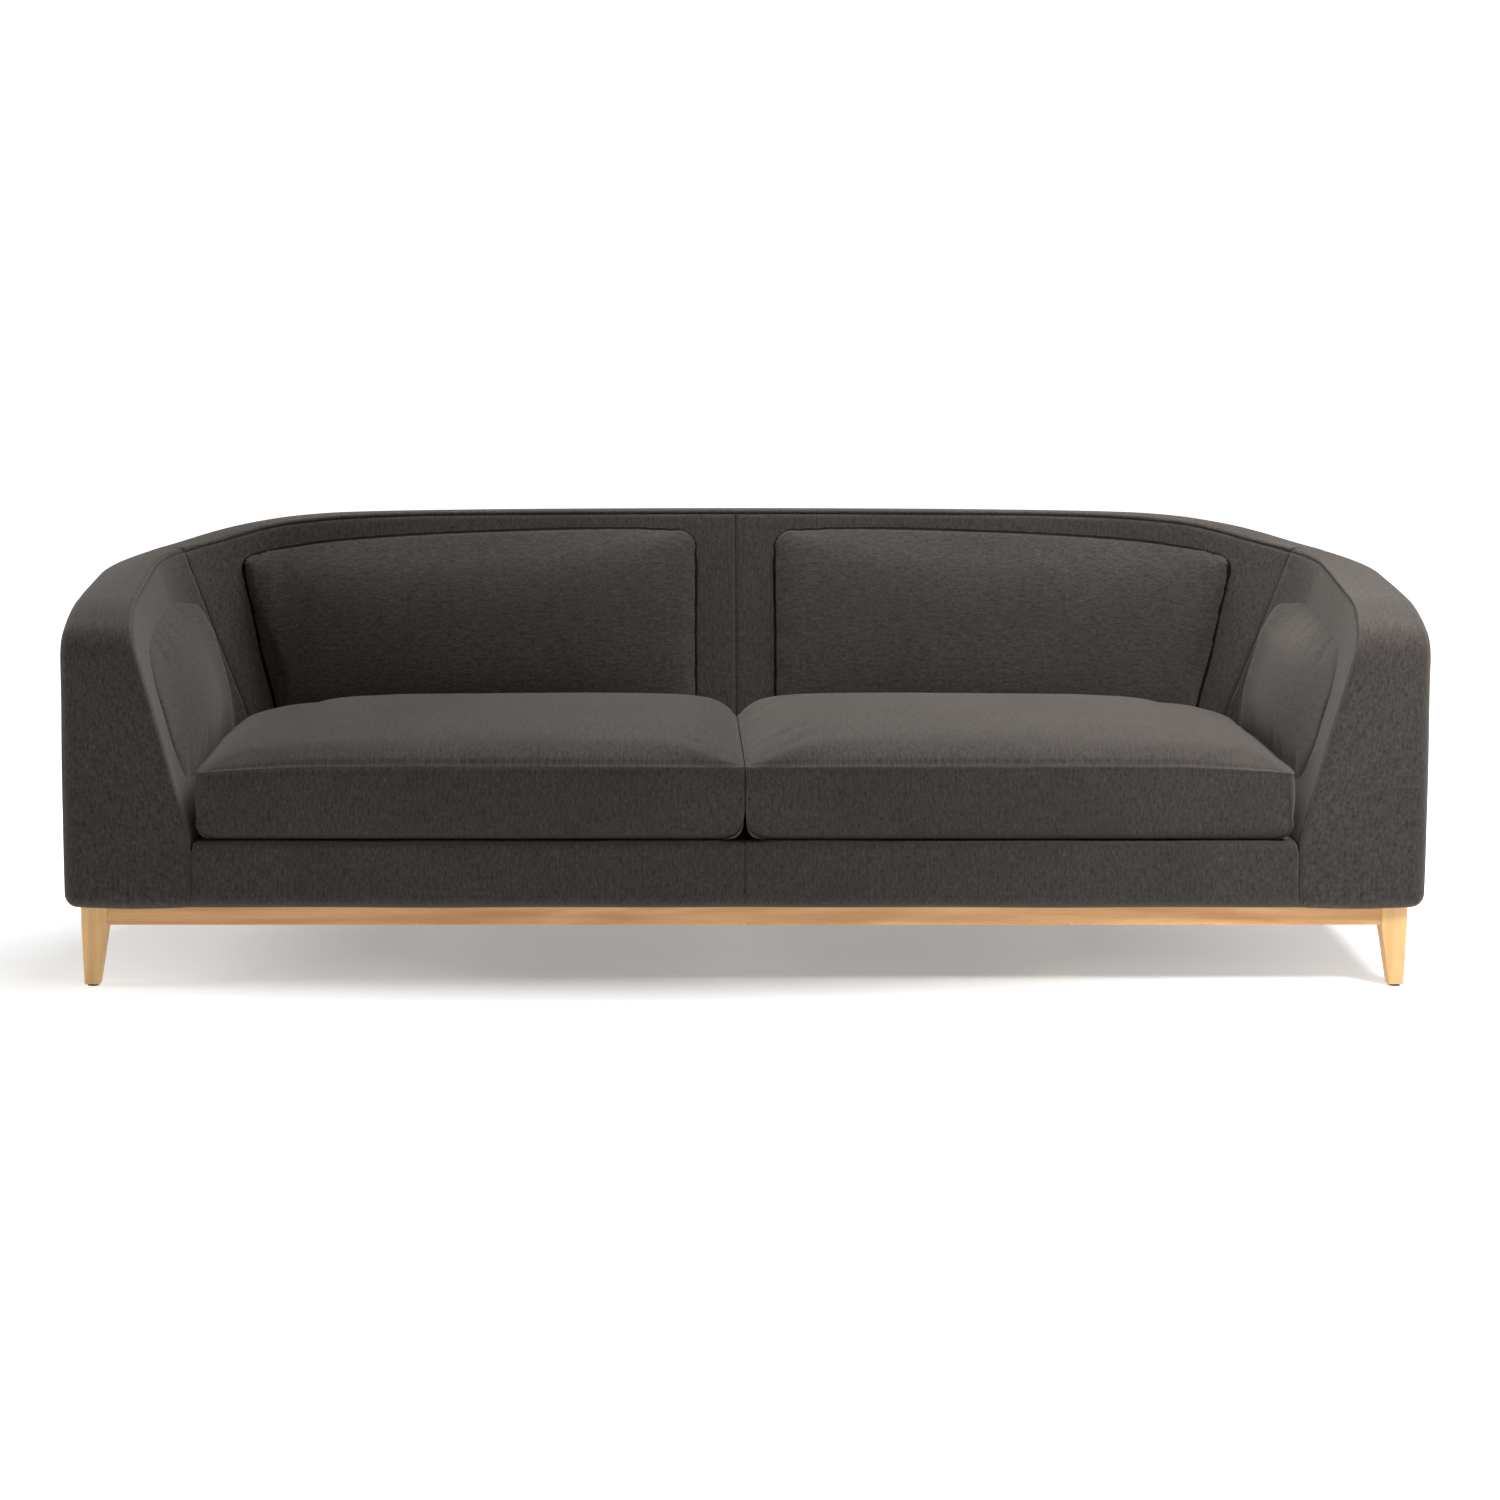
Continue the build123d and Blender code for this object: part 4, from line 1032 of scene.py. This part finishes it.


# Light, floor and camera. A pale studio floor that glows: painted light, weakest under the sofa, where it
# pales the sofa's shadow, and stronger further out. Wide soft lights overhead and over the back, a small one
# at each side, and a sky that is bright low down.
# The camera stands a little left of the middle, 1.33 m above the floor.

floor_mesh = bpy.data.meshes.new("studio_floor")
reach = 40.0
corners = [(-reach, -reach, 0), (reach, -reach, 0), (reach, reach, 0), (-reach, reach, 0)]
floor_mesh.from_pydata(corners, [], [(0, 1, 2, 3)])
floor = put_in("studio_floor", floor_mesh)
pale = bpy.data.materials.new("pale_floor")
pale.use_nodes = True
tree = pale.node_tree
shader = tree.nodes["Principled BSDF"]
# Painted light: the floor's emission is 0.31 under the sofa, grows outward to about 1.05, and is cut to 0.3
# of that far in front, so the sofa's shadow on the floor is pale.
spot = place(tree, "ShaderNodeTexCoord", {}).outputs["Object"]
spread = stretched(tree, spot, (0.62, 1.0, 1.0))
away = place(tree, "ShaderNodeVectorMath", {0: spread}, operation="LENGTH").outputs["Value"]
near_glow = spread_range(tree, away, 0.40, 0.80, 0.31, 0.60)
glow = sums(tree, "ADD", near_glow, spread_range(tree, away, 0.80, 2.6, 0.0, 0.45))
depth_at = place(tree, "ShaderNodeSeparateXYZ", {0: spot}).outputs[1]
glow = sums(tree, "MULTIPLY", glow, spread_range(tree, depth_at, -3.4, -3.0, 0.3, 1.0))
mottle = noise(tree, spot, 3.0, 3.0)
mottled = mix_colours(tree, mottle, (0.80, 0.80, 0.80, 1.0), (0.83, 0.83, 0.83, 1.0))
tree.links.new(mottled, shader.inputs["Base Color"])
shader.inputs["Roughness"].default_value = 0.9
shader.inputs["Specular IOR Level"].default_value = 0.0
grey_glow = place(tree, "ShaderNodeCombineColor", {0: glow, 1: glow, 2: glow}).outputs[0]
tree.links.new(grey_glow, shader.inputs["Emission Color"])
shader.inputs["Emission Strength"].default_value = 1.0
floor_mesh.materials.append(pale)
floor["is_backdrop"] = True

world = bpy.data.worlds.new("studio")
world.use_nodes = True
tree = world.node_tree
facing = place(tree, "ShaderNodeTexCoord", {}).outputs["Generated"]
backward, upward = place(tree, "ShaderNodeSeparateXYZ", {0: facing}).outputs[1:3]
by_height = spread_range(tree, upward, 0.22, 0.32, 1.05, 0.10)
brightness = sums(tree, "MULTIPLY", by_height, spread_range(tree, backward, -0.25, 0.0, 0.60, 1.0))
sky = tree.nodes["Background"]
sky.inputs["Color"].default_value = (1.0, 0.99, 0.98, 1.0)
tree.links.new(brightness, sky.inputs["Strength"])
bpy.context.scene.world = world
bpy.context.scene.view_settings.view_transform = "Standard"


def soft_light(name, place_at, aim, size, power, opening=180.0):
    data = bpy.data.lights.new(name, "AREA")
    data.shape = "RECTANGLE"
    data.size, data.size_y = size
    data.energy = power
    data.spread = radians(opening)
    lamp = put_in(name, data)
    lamp.location = place_at
    lamp.rotation_euler = (Vector(aim) - Vector(place_at)).to_track_quat("-Z", "Y").to_euler()


soft_light("overhead_light", (0.3, -0.3, 3.2), (0.2, -0.3, 0.4), (4.0, 1.6), 72.0)
soft_light("rear_light", (0.5, 0.55, 2.8), (0.2, 0.0, 0.4), (3.2, 0.6), 92.0)
soft_light("left_light", (-5.5, -0.4, 2.2), (0.9, 0.0, 0.6), (1.5, 1.5), 10.0, 60.0)
soft_light("right_light", (1.7, -1.5, 1.9), (1.15, -0.4, 0.62), (0.5, 0.5), 6.0, 55.0)

camera_data = bpy.data.cameras.new("camera")
camera_data.sensor_width = 36.0
camera_data.lens = 82.75
camera_data.shift_x = 0.0639
camera = put_in("camera", camera_data)
camera.location = (-0.154, -6.190, 1.330)
camera.rotation_euler = (radians(90 - 9.04), 0.0, 0.0)
bpy.context.scene.camera = camera

low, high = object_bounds()
